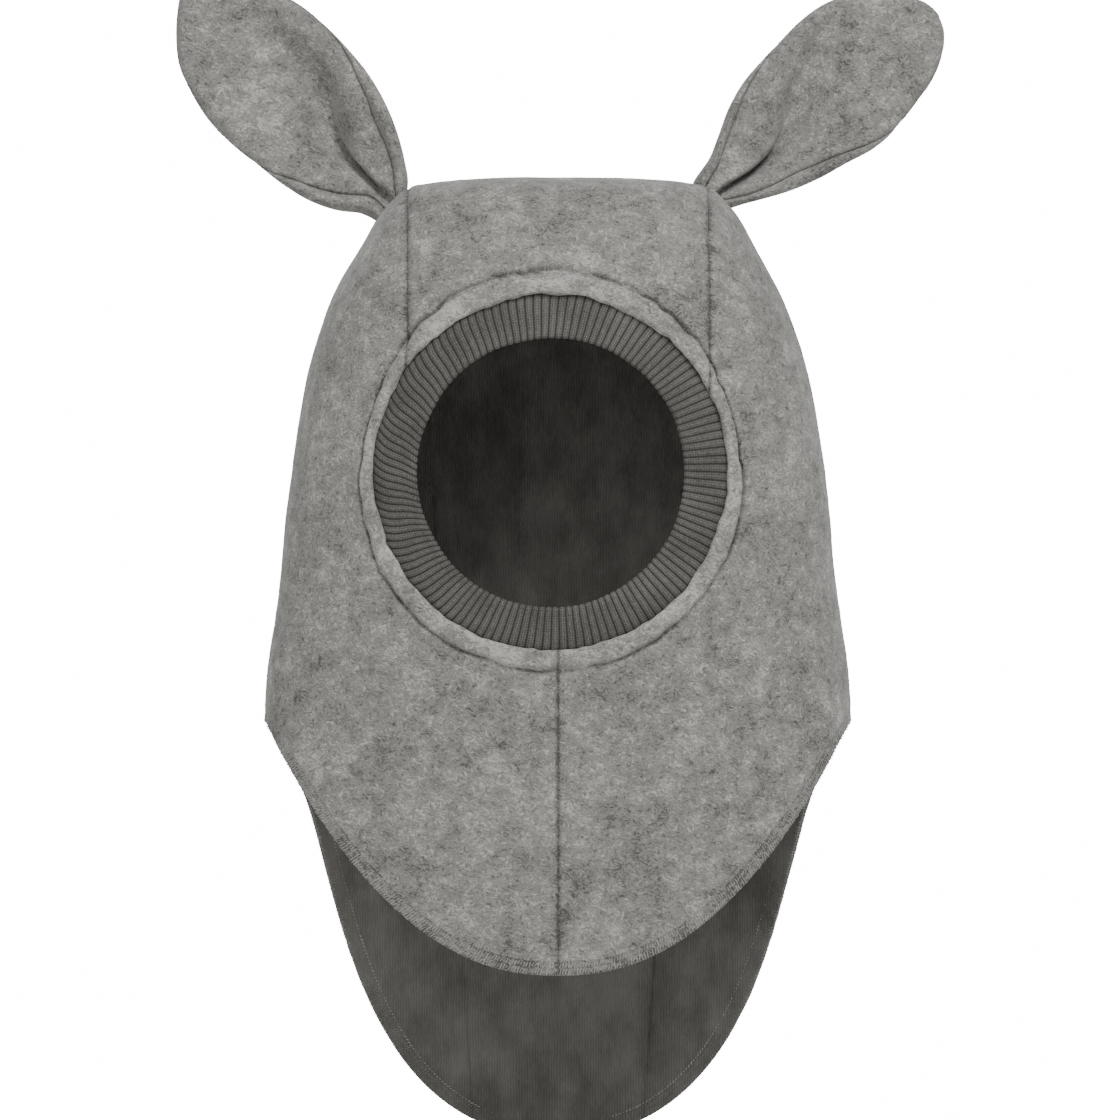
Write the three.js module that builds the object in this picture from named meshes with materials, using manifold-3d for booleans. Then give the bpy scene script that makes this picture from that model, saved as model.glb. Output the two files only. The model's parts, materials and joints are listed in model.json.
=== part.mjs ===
// A child's lined balaclava: a wool hood of three panels with a ribbed face opening, a short bib in front,
// a longer flap behind and two folded ears sewn into the crown seams.
// Millimetres. +Z is up, the face looks along -Y and +X is the wearer's left.
// The origin is the inside of the crown, where the top of the head touches the lining.
import * as THREE from "three";
import { mergeVertices } from "three/addons/utils/BufferGeometryUtils.js";
import Module from "manifold-3d";

const wasm = await Module();
wasm.setup();

// Cloth and thread
const WOOL = 2.2; // thickness of the outer wool
const LINING = 1.3; // thickness of the velour lining
const PLY_GAP = 0.4; // between two layers of cloth
const CLEAR = 0.3; // between a piece and the piece it is sewn to
const THREAD = 0.8; // diameter of a line of seam stitching

// Hood, measured down from the outside of the crown
const CROWN_HALF_WIDTH = 61; // the flat top, from the middle to a crown seam
const CROWN_EDGE_DROP = 5.5;
const CROWN_HALF_DEPTH = 33; // front to back of the flat top, halved
const BROW_HALF_WIDTH = 91;
const BROW_DROP = 50;
const EYE_HALF_WIDTH = 106;
const EYE_DROP = 113;
const HEM_HALF_WIDTH = 118;
const TIP_DROP = 217; // the side points, where the bib's hem meets the flap's
const BIB_DROP = 318;
const FLAP_DROP = 386;
const FACE_DEPTH = 57; // from the middle plane to the front of the face
const NAPE_DEPTH = 62; // from the middle plane to the back of the head
const NECK_DEPTH = 50;
const SQUARENESS = 2.35; // exponent of the level sections, 2 for an ellipse
const FACET_SAG = 0.4; // the flat facets of the wall lie no further inside the true curve than this

// Face opening and its ribbed band
const FACE_RADIUS = 71;
const FACE_DROP = 118.5; // the centre of the opening
const FACE_SIDE = -3; // the opening sits a little to the wearer's right
const RIB_WIDTH = 17;
const RIB_THICKNESS = 2.6; // the band is folded double
const TOPSTITCH_OUT = 8; // from the rib's seam to the line of topstitching

// Panels
const CENTRE_HALF_WIDTH = 60; // centre panel on the brow and crown
const CENTRE_HEM_HALF_WIDTH = 34; // centre panel at the flap's hem
const SEAM = THREAD + 2 * CLEAR; // the slit between two panels that holds their seam thread

// Hem
const OVERLOCK_WIDTH = 5.5;
const OVERLOCK_THICKNESS = 0.5;
const BIB_CURVE = 2.25; // exponent of the bib's hem, 2 for a parabola

// Ears
const EAR_LENGTH = 120;
const EAR_BASE_RADIUS = 4; // the gathered base is round about its hinge line
const EAR_PLY = 2.0;
const EAR_LOFT = 1.6; // how much further the plies stand apart along the middle than at the edge
const EAR_CUP = 9; // how far the edges lean forward of the middle
const EAR_SEAM_CLEAR = 0.55; // from the edge seam's thread to each ply, which bend round it
const EAR_GAP = THREAD + 2 * EAR_SEAM_CLEAR; // between the plies at their edge
const EAR_SEAM_INSET = 1.6; // from the edge of the blade to its seam
const EAR_TACK = 5; // length of the bar of stitching that holds the pleat
const LEFT_EAR = { side: 1, tilt: 43, halfWidth: 26, droop: 5 };
const RIGHT_EAR = { side: -1, tilt: 43.5, halfWidth: 29.5, droop: 0 };

// Mesh steps
const FACET_WIDTH = 11.8; // sets how many facets go round the hood, so that FACET_SAG holds at any width
const COLUMNS = 4 * Math.round(HEM_HALF_WIDTH / FACET_WIDTH);
const CROWN_ROWS = 10;
const SKIRT_ROWS = 7;
const RIB_STEPS = 48;
const EAR_COLUMNS = 8;
const SEAM_STEPS = 26;

const WALL = WOOL + PLY_GAP + LINING;
const HEM_CLEAR = CLEAR + FACET_SAG;

const wool = () => new THREE.MeshStandardMaterial({ color: 0x8c8a86, roughness: 0.95, metalness: 0 });
const velour = () => new THREE.MeshStandardMaterial({ color: 0x4a4945, roughness: 0.9, metalness: 0 });
const ribKnit = () => new THREE.MeshStandardMaterial({ color: 0x64625e, roughness: 0.9, metalness: 0 });
const thread = () => new THREE.MeshStandardMaterial({ color: 0x9a9893, roughness: 0.7, metalness: 0 });

const mix = THREE.MathUtils.lerp;
const TEMPLE_DROP = mix(BROW_DROP, EYE_DROP, 0.43);
const TEMPLE_HALF_WIDTH = mix(BROW_HALF_WIDTH, EYE_HALF_WIDTH, 0.56);
const CHIN_DROP = mix(EYE_DROP, TIP_DROP, 0.5);
const CHIN_HALF_WIDTH = mix(EYE_HALF_WIDTH, HEM_HALF_WIDTH, 0.5);

// Level sections of the hood, crown to flap's hem: [drop, half width, depth in front, depth behind].
const STATIONS = [
  [0, 0, 0, 0],
  [0.4, 0.5 * CROWN_HALF_WIDTH, 0.36 * CROWN_HALF_DEPTH, 0.36 * CROWN_HALF_DEPTH],
  [2, 0.82 * CROWN_HALF_WIDTH, 0.7 * CROWN_HALF_DEPTH, 0.72 * CROWN_HALF_DEPTH],
  [CROWN_EDGE_DROP, CROWN_HALF_WIDTH, 0.97 * CROWN_HALF_DEPTH, 1.03 * CROWN_HALF_DEPTH],
  [0.27 * BROW_DROP, 0.74 * BROW_HALF_WIDTH, 0.72 * FACE_DEPTH, 0.72 * NAPE_DEPTH],
  [0.58 * BROW_DROP, 0.873 * BROW_HALF_WIDTH, 0.84 * FACE_DEPTH, 0.87 * NAPE_DEPTH],
  [BROW_DROP, BROW_HALF_WIDTH, 0.92 * FACE_DEPTH, 0.95 * NAPE_DEPTH],
  [TEMPLE_DROP, TEMPLE_HALF_WIDTH, 0.975 * FACE_DEPTH, NAPE_DEPTH],
  [EYE_DROP, EYE_HALF_WIDTH, FACE_DEPTH, NAPE_DEPTH],
  [CHIN_DROP, CHIN_HALF_WIDTH, mix(FACE_DEPTH, NECK_DEPTH, 0.5), mix(NAPE_DEPTH, NECK_DEPTH, 0.5)],
  [TIP_DROP, HEM_HALF_WIDTH, NECK_DEPTH, NECK_DEPTH],
  [mix(TIP_DROP, FLAP_DROP, 0.5), HEM_HALF_WIDTH, NECK_DEPTH + 1, NECK_DEPTH + 1],
  [FLAP_DROP, HEM_HALF_WIDTH, NECK_DEPTH + 4, NECK_DEPTH + 6],
];
const EYE_LEVEL = 8; // the station below which the columns turn towards the hem
const LAST_LEVEL = STATIONS.length - 1;

const stationCurve = (depth) =>
  new THREE.CatmullRomCurve3(
    STATIONS.map((s) => new THREE.Vector3(s[1], s[depth], s[0])),
    false,
    "catmullrom",
    0.5,
  );
const frontCurve = stationCurve(2);
const backCurve = stationCurve(3);

// The half width, depth and drop of the section at a level, counted in stations from the crown.
function section(level, behind) {
  const p = (behind ? backCurve : frontCurve).getPoint(THREE.MathUtils.clamp(level / LAST_LEVEL, 0, 1));
  return { halfWidth: p.x, depth: p.y, drop: p.z };
}

// The level whose drop is the one given, by halving.
function levelAt(drop) {
  let [low, high] = [0, LAST_LEVEL];
  for (let i = 0; i < 40; i += 1) {
    const middle = (low + high) / 2;
    if (section(middle, false).drop < drop) low = middle;
    else high = middle;
  }
  return (low + high) / 2;
}

const levels = new Map();
function sectionAtDrop(drop, behind) {
  const key = Math.round(drop * 1e4);
  if (!levels.has(key)) levels.set(key, levelAt(drop));
  return section(levels.get(key), behind);
}

// The outside of the hood at a share of its half width and a drop.
function outside(share, drop, behind) {
  const s = sectionAtDrop(drop, behind);
  const rest = Math.max(0, 1 - Math.abs(share) ** SQUARENESS) ** (1 / SQUARENESS);
  return new THREE.Vector3(share * s.halfWidth, (behind ? 1 : -1) * s.depth * rest, WALL - drop);
}

// Half of each hem as [half width, drop], from a side point to the middle.
const bibHem = [];
for (let i = 0; i <= 60; i += 1) {
  const x = HEM_HALF_WIDTH * (1 - i / 60);
  bibHem.push(new THREE.Vector2(x, BIB_DROP - (BIB_DROP - TIP_DROP) * (x / HEM_HALF_WIDTH) ** BIB_CURVE));
}
const flapHeight = FLAP_DROP - TIP_DROP;
const flapShoulder = new THREE.Vector2(0.82 * HEM_HALF_WIDTH, TIP_DROP + 0.24 * flapHeight);
const flapHem = [
  ...new THREE.QuadraticBezierCurve(
    new THREE.Vector2(HEM_HALF_WIDTH, TIP_DROP),
    new THREE.Vector2(0.86 * HEM_HALF_WIDTH, TIP_DROP + 0.1 * flapHeight),
    flapShoulder,
  ).getPoints(20),
  ...new THREE.CubicBezierCurve(
    flapShoulder,
    new THREE.Vector2(0.73 * HEM_HALF_WIDTH, TIP_DROP + 0.52 * flapHeight),
    new THREE.Vector2(0.62 * HEM_HALF_WIDTH, FLAP_DROP),
    new THREE.Vector2(0, FLAP_DROP),
  )
    .getPoints(60)
    .slice(1),
];

// The point a share of the way along a run of points, by length.
function along(points, share) {
  const lengths = [0];
  for (let i = 1; i < points.length; i += 1) {
    lengths.push(lengths[i - 1] + points[i].distanceTo(points[i - 1]));
  }
  const wanted = share * lengths[lengths.length - 1];
  let i = 1;
  while (i < points.length - 1 && lengths[i] < wanted) i += 1;
  const t = (wanted - lengths[i - 1]) / (lengths[i] - lengths[i - 1]);
  return points[i - 1].clone().lerp(points[i], THREE.MathUtils.clamp(t, 0, 1));
}

const SKIRT_START = 0.5; // the share of a column that lies above the eye level

// The outside of the hood. Turn is 0 at the middle of the face and 1/4 at the wearer's left.
// Run is 0 at the crown and 1 at the hem.
function hood(turn, run) {
  const angle = 2 * Math.PI * turn;
  const behind = Math.cos(angle) < 0;
  const side = Math.sign(Math.sin(angle)) || 1;
  const ring = Math.abs(Math.sin(angle)) ** (2 / SQUARENESS);
  if (run <= SKIRT_START) {
    const s = section((run / SKIRT_START) * EYE_LEVEL, behind);
    const deep = Math.abs(Math.cos(angle)) ** (2 / SQUARENESS);
    return new THREE.Vector3(side * ring * s.halfWidth, (behind ? 1 : -1) * deep * s.depth, WALL - s.drop);
  }
  const fromSide = Math.abs(Math.abs(((turn + 1) % 1) - 0.5) - 0.25) * 4;
  const hem = along(behind ? flapHem : bibHem, fromSide);
  const hemShare = hem.x / sectionAtDrop(hem.y, behind).halfWidth;
  const t = (run - SKIRT_START) / (1 - SKIRT_START);
  return outside(side * mix(ring, Math.min(1, hemShare), t), mix(EYE_DROP, hem.y, t), behind);
}

// The outward normal of the hood, from its neighbours.
function hoodNormal(turn, run) {
  if (run < 1e-6) return new THREE.Vector3(0, 0, 1);
  const step = 2e-3;
  const across = hood(turn + step, run).sub(hood(turn - step, run));
  const down = hood(turn, Math.min(1, run + step)).sub(hood(turn, Math.max(0, run - step)));
  return across.cross(down).normalize().negate();
}

// A point of the hood, moved in through the wall by a depth.
const within = (turn, run, depth) => hood(turn, run).addScaledVector(hoodNormal(turn, run), -depth);

const runs = [];
for (let i = 0; i <= CROWN_ROWS; i += 1) runs.push((SKIRT_START * i) / CROWN_ROWS);
for (let i = 1; i <= SKIRT_ROWS; i += 1) runs.push(SKIRT_START + ((1 - SKIRT_START) * i) / SKIRT_ROWS);

// A geometry from points and triangles.
function geometryOf(points, triangles) {
  const g = new THREE.BufferGeometry();
  g.setAttribute("position", new THREE.Float32BufferAttribute(points.flatMap((p) => [p.x, p.y, p.z]), 3));
  g.setIndex(triangles.flat());
  return g;
}

// A closed geometry from rings of points, each joined to the next.
// The ends are capped, or joined to each other.
function loft(rings, joined) {
  const n = rings[0].length;
  const points = rings.flat();
  const triangles = [];
  const last = joined ? rings.length : rings.length - 1;
  for (let i = 0; i < last; i += 1)
    for (let j = 0; j < n; j += 1) {
      const [a, b] = [i * n + j, i * n + ((j + 1) % n)];
      const [c, d] = [((i + 1) % rings.length) * n + j, ((i + 1) % rings.length) * n + ((j + 1) % n)];
      triangles.push([a, b, d], [a, d, c]);
    }
  if (!joined)
    for (let j = 1; j < n - 1; j += 1) {
      const end = (rings.length - 1) * n;
      triangles.push([0, j + 1, j], [end, end + j, end + j + 1]);
    }
  return geometryOf(points, triangles);
}

// The hood's wall between two depths, as one closed layer with the hem left open below.
function layer(outer, inner) {
  const points = [within(0, 0, outer), within(0, 0, inner)];
  for (const run of runs.slice(1))
    for (let i = 0; i < COLUMNS; i += 1)
      points.push(within(i / COLUMNS, run, outer), within(i / COLUMNS, run, inner));
  const at = (row, column, side) => 2 + 2 * ((row - 1) * COLUMNS + (column % COLUMNS)) + side;
  const triangles = [];
  for (let i = 0; i < COLUMNS; i += 1) {
    triangles.push([0, at(1, i, 0), at(1, i + 1, 0)], [1, at(1, i + 1, 1), at(1, i, 1)]);
    for (let row = 1; row < runs.length - 1; row += 1) {
      const [a, b, c, d] = [at(row, i, 0), at(row, i + 1, 0), at(row + 1, i, 0), at(row + 1, i + 1, 0)];
      triangles.push([a, c, d], [a, d, b], [a + 1, d + 1, c + 1], [a + 1, b + 1, d + 1]);
    }
    const end = runs.length - 1;
    const [a, b] = [at(end, i, 0), at(end, i + 1, 0)];
    triangles.push([a, a + 1, b + 1], [a, b + 1, b]);
  }
  return geometryOf(points, triangles);
}

// Solids for joining and cutting
function solid(geometry) {
  const g = geometry.clone();
  g.deleteAttribute("normal");
  g.deleteAttribute("uv");
  const m = mergeVertices(g, 1e-4);
  const vertProperties = m.attributes.position.array;
  const triVerts = new Uint32Array(m.index.array);
  return new wasm.Manifold(new wasm.Mesh({ numProp: 3, vertProperties, triVerts }));
}

function fromSolid(made) {
  const m = made.getMesh();
  const points = [];
  for (let i = 0; i < m.numVert; i += 1)
    points.push(new THREE.Vector3(...m.vertProperties.subarray(i * m.numProp, i * m.numProp + 3)));
  const triangles = [];
  for (let i = 0; i < m.triVerts.length; i += 3) triangles.push([...m.triVerts.subarray(i, i + 3)]);
  return geometryOf(points, triangles);
}

const largest = (made) => made.decompose().sort((a, b) => b.volume() - a.volume())[0];

const REACH = 200; // a cutter reaches this far past the hood
const PAST_MIDDLE = 1; // and this far past the middle plane

// A front-view outline of [x, drop] points, as a cutter on one side of the middle plane.
function cutter(outline, behind) {
  const shape = new THREE.Shape(outline.map(([x, drop]) => new THREE.Vector2(x, WALL - drop)));
  const g = new THREE.ExtrudeGeometry(shape, { depth: REACH + PAST_MIDDLE, bevelEnabled: false });
  return solid(g.rotateX(Math.PI / 2).translate(0, behind ? REACH : PAST_MIDDLE, 0));
}

// Half the width of the centre panel behind, at a drop: full over the crown, narrowing down to the hem.
function centreHalfWidthBehind(drop) {
  const t = Math.max(0, (drop - CROWN_EDGE_DROP) / (FLAP_DROP - CROWN_EDGE_DROP));
  return mix(CENTRE_HALF_WIDTH, CENTRE_HEM_HALF_WIDTH, t);
}

// The strip over the brow, crown and back that holds the centre panel, grown sideways by an amount.
function centreStrip(grown) {
  const half = CENTRE_HALF_WIDTH + grown;
  const front = cutter([[-half, -REACH], [half, -REACH], [half, FACE_DROP], [-half, FACE_DROP]], false);
  const ends = [-REACH, CROWN_EDGE_DROP, FLAP_DROP + REACH];
  const right = ends.map((drop) => [centreHalfWidthBehind(drop) + grown, drop]);
  const left = [...right].reverse().map(([x, drop]) => [-x, drop]);
  return front.add(cutter([...right, ...left], true));
}

// A point of the face's plane as [x, drop], at an angle and a radius about the middle of the opening.
function aroundFace(angle, radius) {
  return [FACE_SIDE + radius * Math.cos(angle), FACE_DROP - radius * Math.sin(angle)];
}
const faceAngles = Array.from({ length: RIB_STEPS }, (_, i) => (2 * Math.PI * i) / RIB_STEPS);
const openFace = cutter(faceAngles.map((a) => aroundFace(a, FACE_RADIUS)), false);

// The three panels of one layer of cloth.
function panels(outer, inner) {
  const whole = solid(layer(outer, inner)).subtract(openFace);
  const centre = largest(whole.intersect(centreStrip(-SEAM / 2)));
  const half = SEAM / 2;
  const below = BIB_DROP + REACH;
  const chin = cutter([[-half, FACE_DROP], [half, FACE_DROP], [half, below], [-half, below]], false);
  const sides = whole.subtract(centreStrip(SEAM / 2)).subtract(chin);
  const byVolume = sides.decompose().sort((a, b) => b.volume() - a.volume());
  const [left, right] = byVolume.slice(0, 2).sort((a, b) => b.boundingBox().max[0] - a.boundingBox().max[0]);
  return { centre: fromSolid(centre), left: fromSolid(left), right: fromSolid(right) };
}

// A point on the front of the hood at an x and a drop, moved in through the wall by a depth.
function front(x, drop, depth) {
  const at = (dx, dd) => outside((x + dx) / sectionAtDrop(drop + dd, false).halfWidth, drop + dd, false);
  const step = 0.5;
  const normal = at(step, 0).sub(at(-step, 0)).cross(at(0, -step).sub(at(0, step))).normalize();
  return at(0, 0).addScaledVector(normal, -depth);
}

// The corners of a thread's section.
const threadSection = [[1, 0], [0, 1], [-1, 0], [0, -1]].map(([x, y]) =>
  new THREE.Vector2(x, y).multiplyScalar(THREAD / 2),
);

// A thread along a run of points, with flat ends.
function threadAlong(points) {
  const section = new THREE.Shape(threadSection);
  const path = new THREE.CatmullRomCurve3(points, false, "centripetal");
  const steps = Math.round(1.5 * points.length);
  return new THREE.ExtrudeGeometry(section, { steps, bevelEnabled: false, extrudePath: path });
}

// A thread that closes on itself, from points on a cloth and the cloth's normals there.
function threadRing(points, normals) {
  const n = points.length;
  const rings = points.map((p, i) => {
    const forward = points[(i + 1) % n].clone().sub(points[(i + n - 1) % n]).normalize();
    const aside = forward.clone().cross(normals[i]).normalize();
    return threadSection.map((c) => p.clone().addScaledVector(aside, c.x).addScaledVector(normals[i], -c.y));
  });
  return loft(rings, true);
}

// The turn at which a level run of the hood's wall crosses a seam, by halving within one quarter of the hood.
function seamTurn(run, depth, behind, halfWidthAt) {
  let [middle, edge] = [behind ? 0.5 : 0, 0.25];
  for (let i = 0; i < 30; i += 1) {
    const turn = (middle + edge) / 2;
    const p = within(turn, run, depth);
    if (p.x < halfWidthAt(WALL - p.z)) middle = turn;
    else edge = turn;
  }
  return (middle + edge) / 2;
}

// The run at which the side of the hood, at a depth in the wall, is as wide as the centre panel.
function crownEdgeRun(depth) {
  let [low, high] = [0, SKIRT_START];
  for (let i = 0; i < 30; i += 1) {
    const run = (low + high) / 2;
    if (within(0.25, run, depth).x < CENTRE_HALF_WIDTH) low = run;
    else high = run;
  }
  return high;
}

// Points down the middle of a crown seam at a depth in the wall, from the face over the crown to the flap.
function crownSeam(side, depth) {
  const overCrown = (drop) => (drop < FACE_DROP ? CENTRE_HALF_WIDTH : 0);
  const first = crownEdgeRun(depth);
  const down = (behind, last) =>
    Array.from({ length: SEAM_STEPS / 2 }, (_, i) => {
      const run = mix(first, last, (i + 0.35) / (SEAM_STEPS / 2 - 0.65));
      return within(seamTurn(run, depth, behind, behind ? centreHalfWidthBehind : overCrown), run, depth);
    });
  const clearOfFace = (p) => Math.hypot(p.x * side - FACE_SIDE, WALL - p.z - FACE_DROP) > FACE_RADIUS + 1;
  const ahead = down(false, SKIRT_START).filter(clearOfFace);
  const points = [...ahead.reverse(), ...down(true, 0.995)];
  points.forEach((p) => p.setX(p.x * side));
  return points;
}

// Points down the chin seam at a depth in the wall, from the face opening to the bib's hem.
function chinSeam(depth) {
  const top = FACE_DROP + Math.sqrt(FACE_RADIUS ** 2 - FACE_SIDE ** 2) + 1;
  return Array.from({ length: SEAM_STEPS / 2 }, (_, i) =>
    front(0, mix(top, BIB_DROP - 1, i / (SEAM_STEPS / 2 - 1)), depth),
  );
}

// The angle at which the two ends of the ribbed band are joined: at the bottom, in line with the chin seam.
const RIB_JOIN_ANGLE = -Math.PI / 2 - Math.asin(FACE_SIDE / (FACE_RADIUS - RIB_WIDTH / 2));

// The ribbed band: a ring that carries on the curve of the face inside the opening, rounded at its free edge.
function faceRib() {
  const outerRadius = FACE_RADIUS - CLEAR;
  const innerRadius = outerRadius - RIB_WIDTH;
  const middle = (WALL - RIB_THICKNESS) / 2;
  const section = [
    [outerRadius, middle],
    [innerRadius + RIB_THICKNESS, middle],
    [innerRadius, middle + RIB_THICKNESS / 2],
    [innerRadius + RIB_THICKNESS, middle + RIB_THICKNESS],
    [outerRadius, middle + RIB_THICKNESS],
  ];
  const gap = SEAM / 2;
  const rings = Array.from({ length: RIB_STEPS + 1 }, (_, i) =>
    section.map(([radius, depth]) => {
      const turned = (2 * Math.PI * i) / RIB_STEPS;
      const nudge = (1 - (2 * i) / RIB_STEPS) * (gap / radius);
      return front(...aroundFace(RIB_JOIN_ANGLE + turned + nudge, radius), depth);
    }),
  );
  return loft(rings.reverse(), false);
}

// Points up the middle of the slit between the two ends of the ribbed band.
function ribJoin() {
  const middle = WALL / 2;
  return [0.08, 0.36, 0.64, 0.92].map((t) =>
    front(...aroundFace(RIB_JOIN_ANGLE, FACE_RADIUS - CLEAR - RIB_WIDTH * t), middle),
  );
}

// A line of stitching round the face, outside the ribbed band, at a depth of its middle.
function faceStitching(depth) {
  const at = (a, d) => front(...aroundFace(a, FACE_RADIUS + TOPSTITCH_OUT), d);
  const points = faceAngles.map((a) => at(a, depth));
  const normals = faceAngles.map((a) => at(a, depth - 1).sub(at(a, depth)));
  return threadRing(points, normals);
}

const hemTurns = Array.from({ length: COLUMNS }, (_, i) => i / COLUMNS);
const hemPoints = Array.from({ length: 6 * COLUMNS }, (_, i) => hood(i / (6 * COLUMNS), 1));

// The run at which a column of the hood is a distance away from the hem, by halving.
function runAbove(turn, distance) {
  let [low, high] = [SKIRT_START, 1];
  for (let i = 0; i < 20; i += 1) {
    const run = (low + high) / 2;
    const p = hood(turn, run);
    if (hemPoints.every((q) => q.distanceTo(p) > distance)) low = run;
    else high = run;
  }
  return (low + high) / 2;
}

// A flat band of overlock stitching along the hem, between two depths.
function hemBand(near, far) {
  const rings = hemTurns.map((turn) => {
    const top = runAbove(turn, OVERLOCK_WIDTH);
    return [within(turn, top, near), within(turn, 1, near), within(turn, 1, far), within(turn, top, far)];
  });
  return loft(rings, true);
}

// The line of stitching just above the overlock band.
function hemNeedleLine() {
  const depth = -(CLEAR + THREAD / 2);
  const heights = hemTurns.map((turn) => runAbove(turn, OVERLOCK_WIDTH + CLEAR + THREAD));
  const points = hemTurns.map((turn, i) => within(turn, heights[i], depth));
  const normals = hemTurns.map((turn, i) => hoodNormal(turn, heights[i]));
  return threadRing(points, normals);
}

// The blade of an ear as shares of its length and half width, from the gathered base to the round tip.
const EAR_BLADE = [
  [0.1, 0.42],
  [0.24, 0.78],
  [0.42, 0.96],
  [0.55, 1],
  [0.72, 0.95],
  [0.88, 0.68],
  [0.96, 0.38],
  [1, 0.06],
];

// An ear's own frame: its base, its length, its width and the way it faces.
function earFrame(ear) {
  const tilt = THREE.MathUtils.degToRad(ear.tilt);
  return {
    hinge: within(ear.side * 0.25, crownEdgeRun(0), -(EAR_BASE_RADIUS + CLEAR - FACET_SAG)),
    along: new THREE.Vector3(ear.side * Math.cos(tilt), 0, Math.sin(tilt)),
    across: new THREE.Vector3(ear.side * Math.sin(tilt), 0, -Math.cos(tilt)),
    ahead: new THREE.Vector3(0, -1, 0),
  };
}

// The blade's half width at a distance from its hinge line.
function earHalfWidth(ear, distance) {
  if (distance < 0) return Math.sqrt(Math.max(0.01, EAR_BASE_RADIUS ** 2 - distance ** 2));
  const points = [[0, EAR_BASE_RADIUS], ...EAR_BLADE.map(([l, w]) => [l * EAR_LENGTH, w * ear.halfWidth])];
  const next = Math.max(1, points.findIndex(([l]) => l >= distance - 1e-6));
  const [[l0, w0], [l1, w1]] = [points[next - 1], points[next]];
  return mix(w0, w1, (distance - l0) / (l1 - l0));
}

const earRows = [-0.97, -0.7, 0].map((share) => share * EAR_BASE_RADIUS);
for (const [share] of EAR_BLADE) earRows.push(share * EAR_LENGTH);

// A point of an ear: its distance from the hinge line, its share of the half width and how far ahead it lies.
function earPoint(ear, frame, distance, share, ahead) {
  const rise = THREE.MathUtils.clamp(distance / EAR_LENGTH, 0, 1);
  const lean = EAR_CUP * share * share * Math.sin(Math.PI * Math.sqrt(rise)) * (1 - 0.5 * rise);
  return frame.hinge
    .clone()
    .addScaledVector(frame.along, distance)
    .addScaledVector(frame.across, earHalfWidth(ear, distance) * share + ear.droop * Math.sin(Math.PI * rise))
    .addScaledVector(frame.ahead, ahead + lean);
}

// One ply of an ear, in front of its middle or behind it.
function earPly(ear, facing) {
  const frame = earFrame(ear);
  const near = (distance, share) => {
    const rise = THREE.MathUtils.clamp(distance / EAR_LENGTH, 0, 1);
    return EAR_GAP / 2 + EAR_LOFT * (1 - share * share) * Math.sin(Math.PI * rise);
  };
  const shares = Array.from({ length: EAR_COLUMNS + 1 }, (_, i) => (2 * i) / EAR_COLUMNS - 1);
  const rings = earRows.map((distance) => {
    const ahead = (c, depth) => facing * (near(distance, c) + depth);
    const side = (depth) => shares.map((c) => earPoint(ear, frame, distance, c, ahead(c, depth)));
    return [...side(0), ...side(EAR_PLY).reverse()];
  });
  return loft(ear.side * facing > 0 ? rings.reverse() : rings, false);
}

// The seam round the edge of an ear, between its plies.
function earSeam(ear) {
  const frame = earFrame(ear);
  const inset = (distance) => Math.max(0.4, 1 - EAR_SEAM_INSET / earHalfWidth(ear, distance));
  const rows = earRows.slice(3, -1); // above the gathered base
  const edge = (sign) => rows.map((d) => earPoint(ear, frame, d, sign * inset(d), 0));
  const tip = earPoint(ear, frame, EAR_LENGTH - EAR_SEAM_INSET, 0, 0);
  return threadAlong([...edge(-1), tip, ...edge(1).reverse()]);
}

// The bar of stitching across the foot of an ear's pleat.
function earTack(ear) {
  const frame = earFrame(ear);
  const ahead = EAR_GAP / 2 + EAR_PLY + CLEAR + THREAD / 2;
  const middle = frame.hinge.clone().addScaledVector(frame.ahead, ahead);
  const third = frame.across.clone().cross(frame.ahead);
  const turned = new THREE.Matrix4().makeBasis(frame.across, frame.ahead, third);
  return new THREE.BoxGeometry(EAR_TACK, THREAD, THREAD)
    .applyMatrix4(turned)
    .translate(middle.x, middle.y, middle.z);
}

const group = new THREE.Group();
function add(name, geometry, material) {
  const mesh = new THREE.Mesh(geometry, material);
  mesh.name = name;
  group.add(mesh);
}

function addPanels(prefix, outer, inner, material) {
  const cloth = panels(outer, inner);
  add(`${prefix}_centre_panel`, cloth.centre, material());
  add(`${prefix}_left_panel`, cloth.left, material());
  add(`${prefix}_right_panel`, cloth.right, material());
  const middle = (outer + inner) / 2;
  add(`${prefix}_left_crown_seam_thread`, threadAlong(crownSeam(1, middle)), thread());
  add(`${prefix}_right_crown_seam_thread`, threadAlong(crownSeam(-1, middle)), thread());
  add(`${prefix}_chin_seam_thread`, threadAlong(chinSeam(middle)), thread());
}

addPanels("outer", 0, WOOL, wool);
addPanels("lining", WOOL + PLY_GAP, WALL, velour);
add("face_rib", faceRib(), ribKnit());
add("rib_join_thread", threadAlong(ribJoin()), thread());
add("face_topstitch_needle_thread", faceStitching(-(CLEAR + THREAD / 2)), thread());
add("face_topstitch_bobbin_thread", faceStitching(WALL + CLEAR + FACET_SAG + THREAD / 2), thread());
add("hem_upper_looper_thread", hemBand(-(HEM_CLEAR + OVERLOCK_THICKNESS), -HEM_CLEAR), thread());
add("hem_lower_looper_thread", hemBand(WALL + HEM_CLEAR, WALL + HEM_CLEAR + OVERLOCK_THICKNESS), thread());
add("hem_needle_thread", hemNeedleLine(), thread());
for (const [name, ear] of [["left_ear", LEFT_EAR], ["right_ear", RIGHT_EAR]]) {
  add(`${name}_front_ply`, earPly(ear, 1), wool());
  add(`${name}_back_ply`, earPly(ear, -1), wool());
  add(`${name}_edge_seam_thread`, earSeam(ear), thread());
  add(`${name}_pleat_tack_thread`, earTack(ear), thread());
}

export default group;
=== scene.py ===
import json
import logging
import math
from dataclasses import dataclass, field
from enum import Enum
from typing import Sequence

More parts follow.
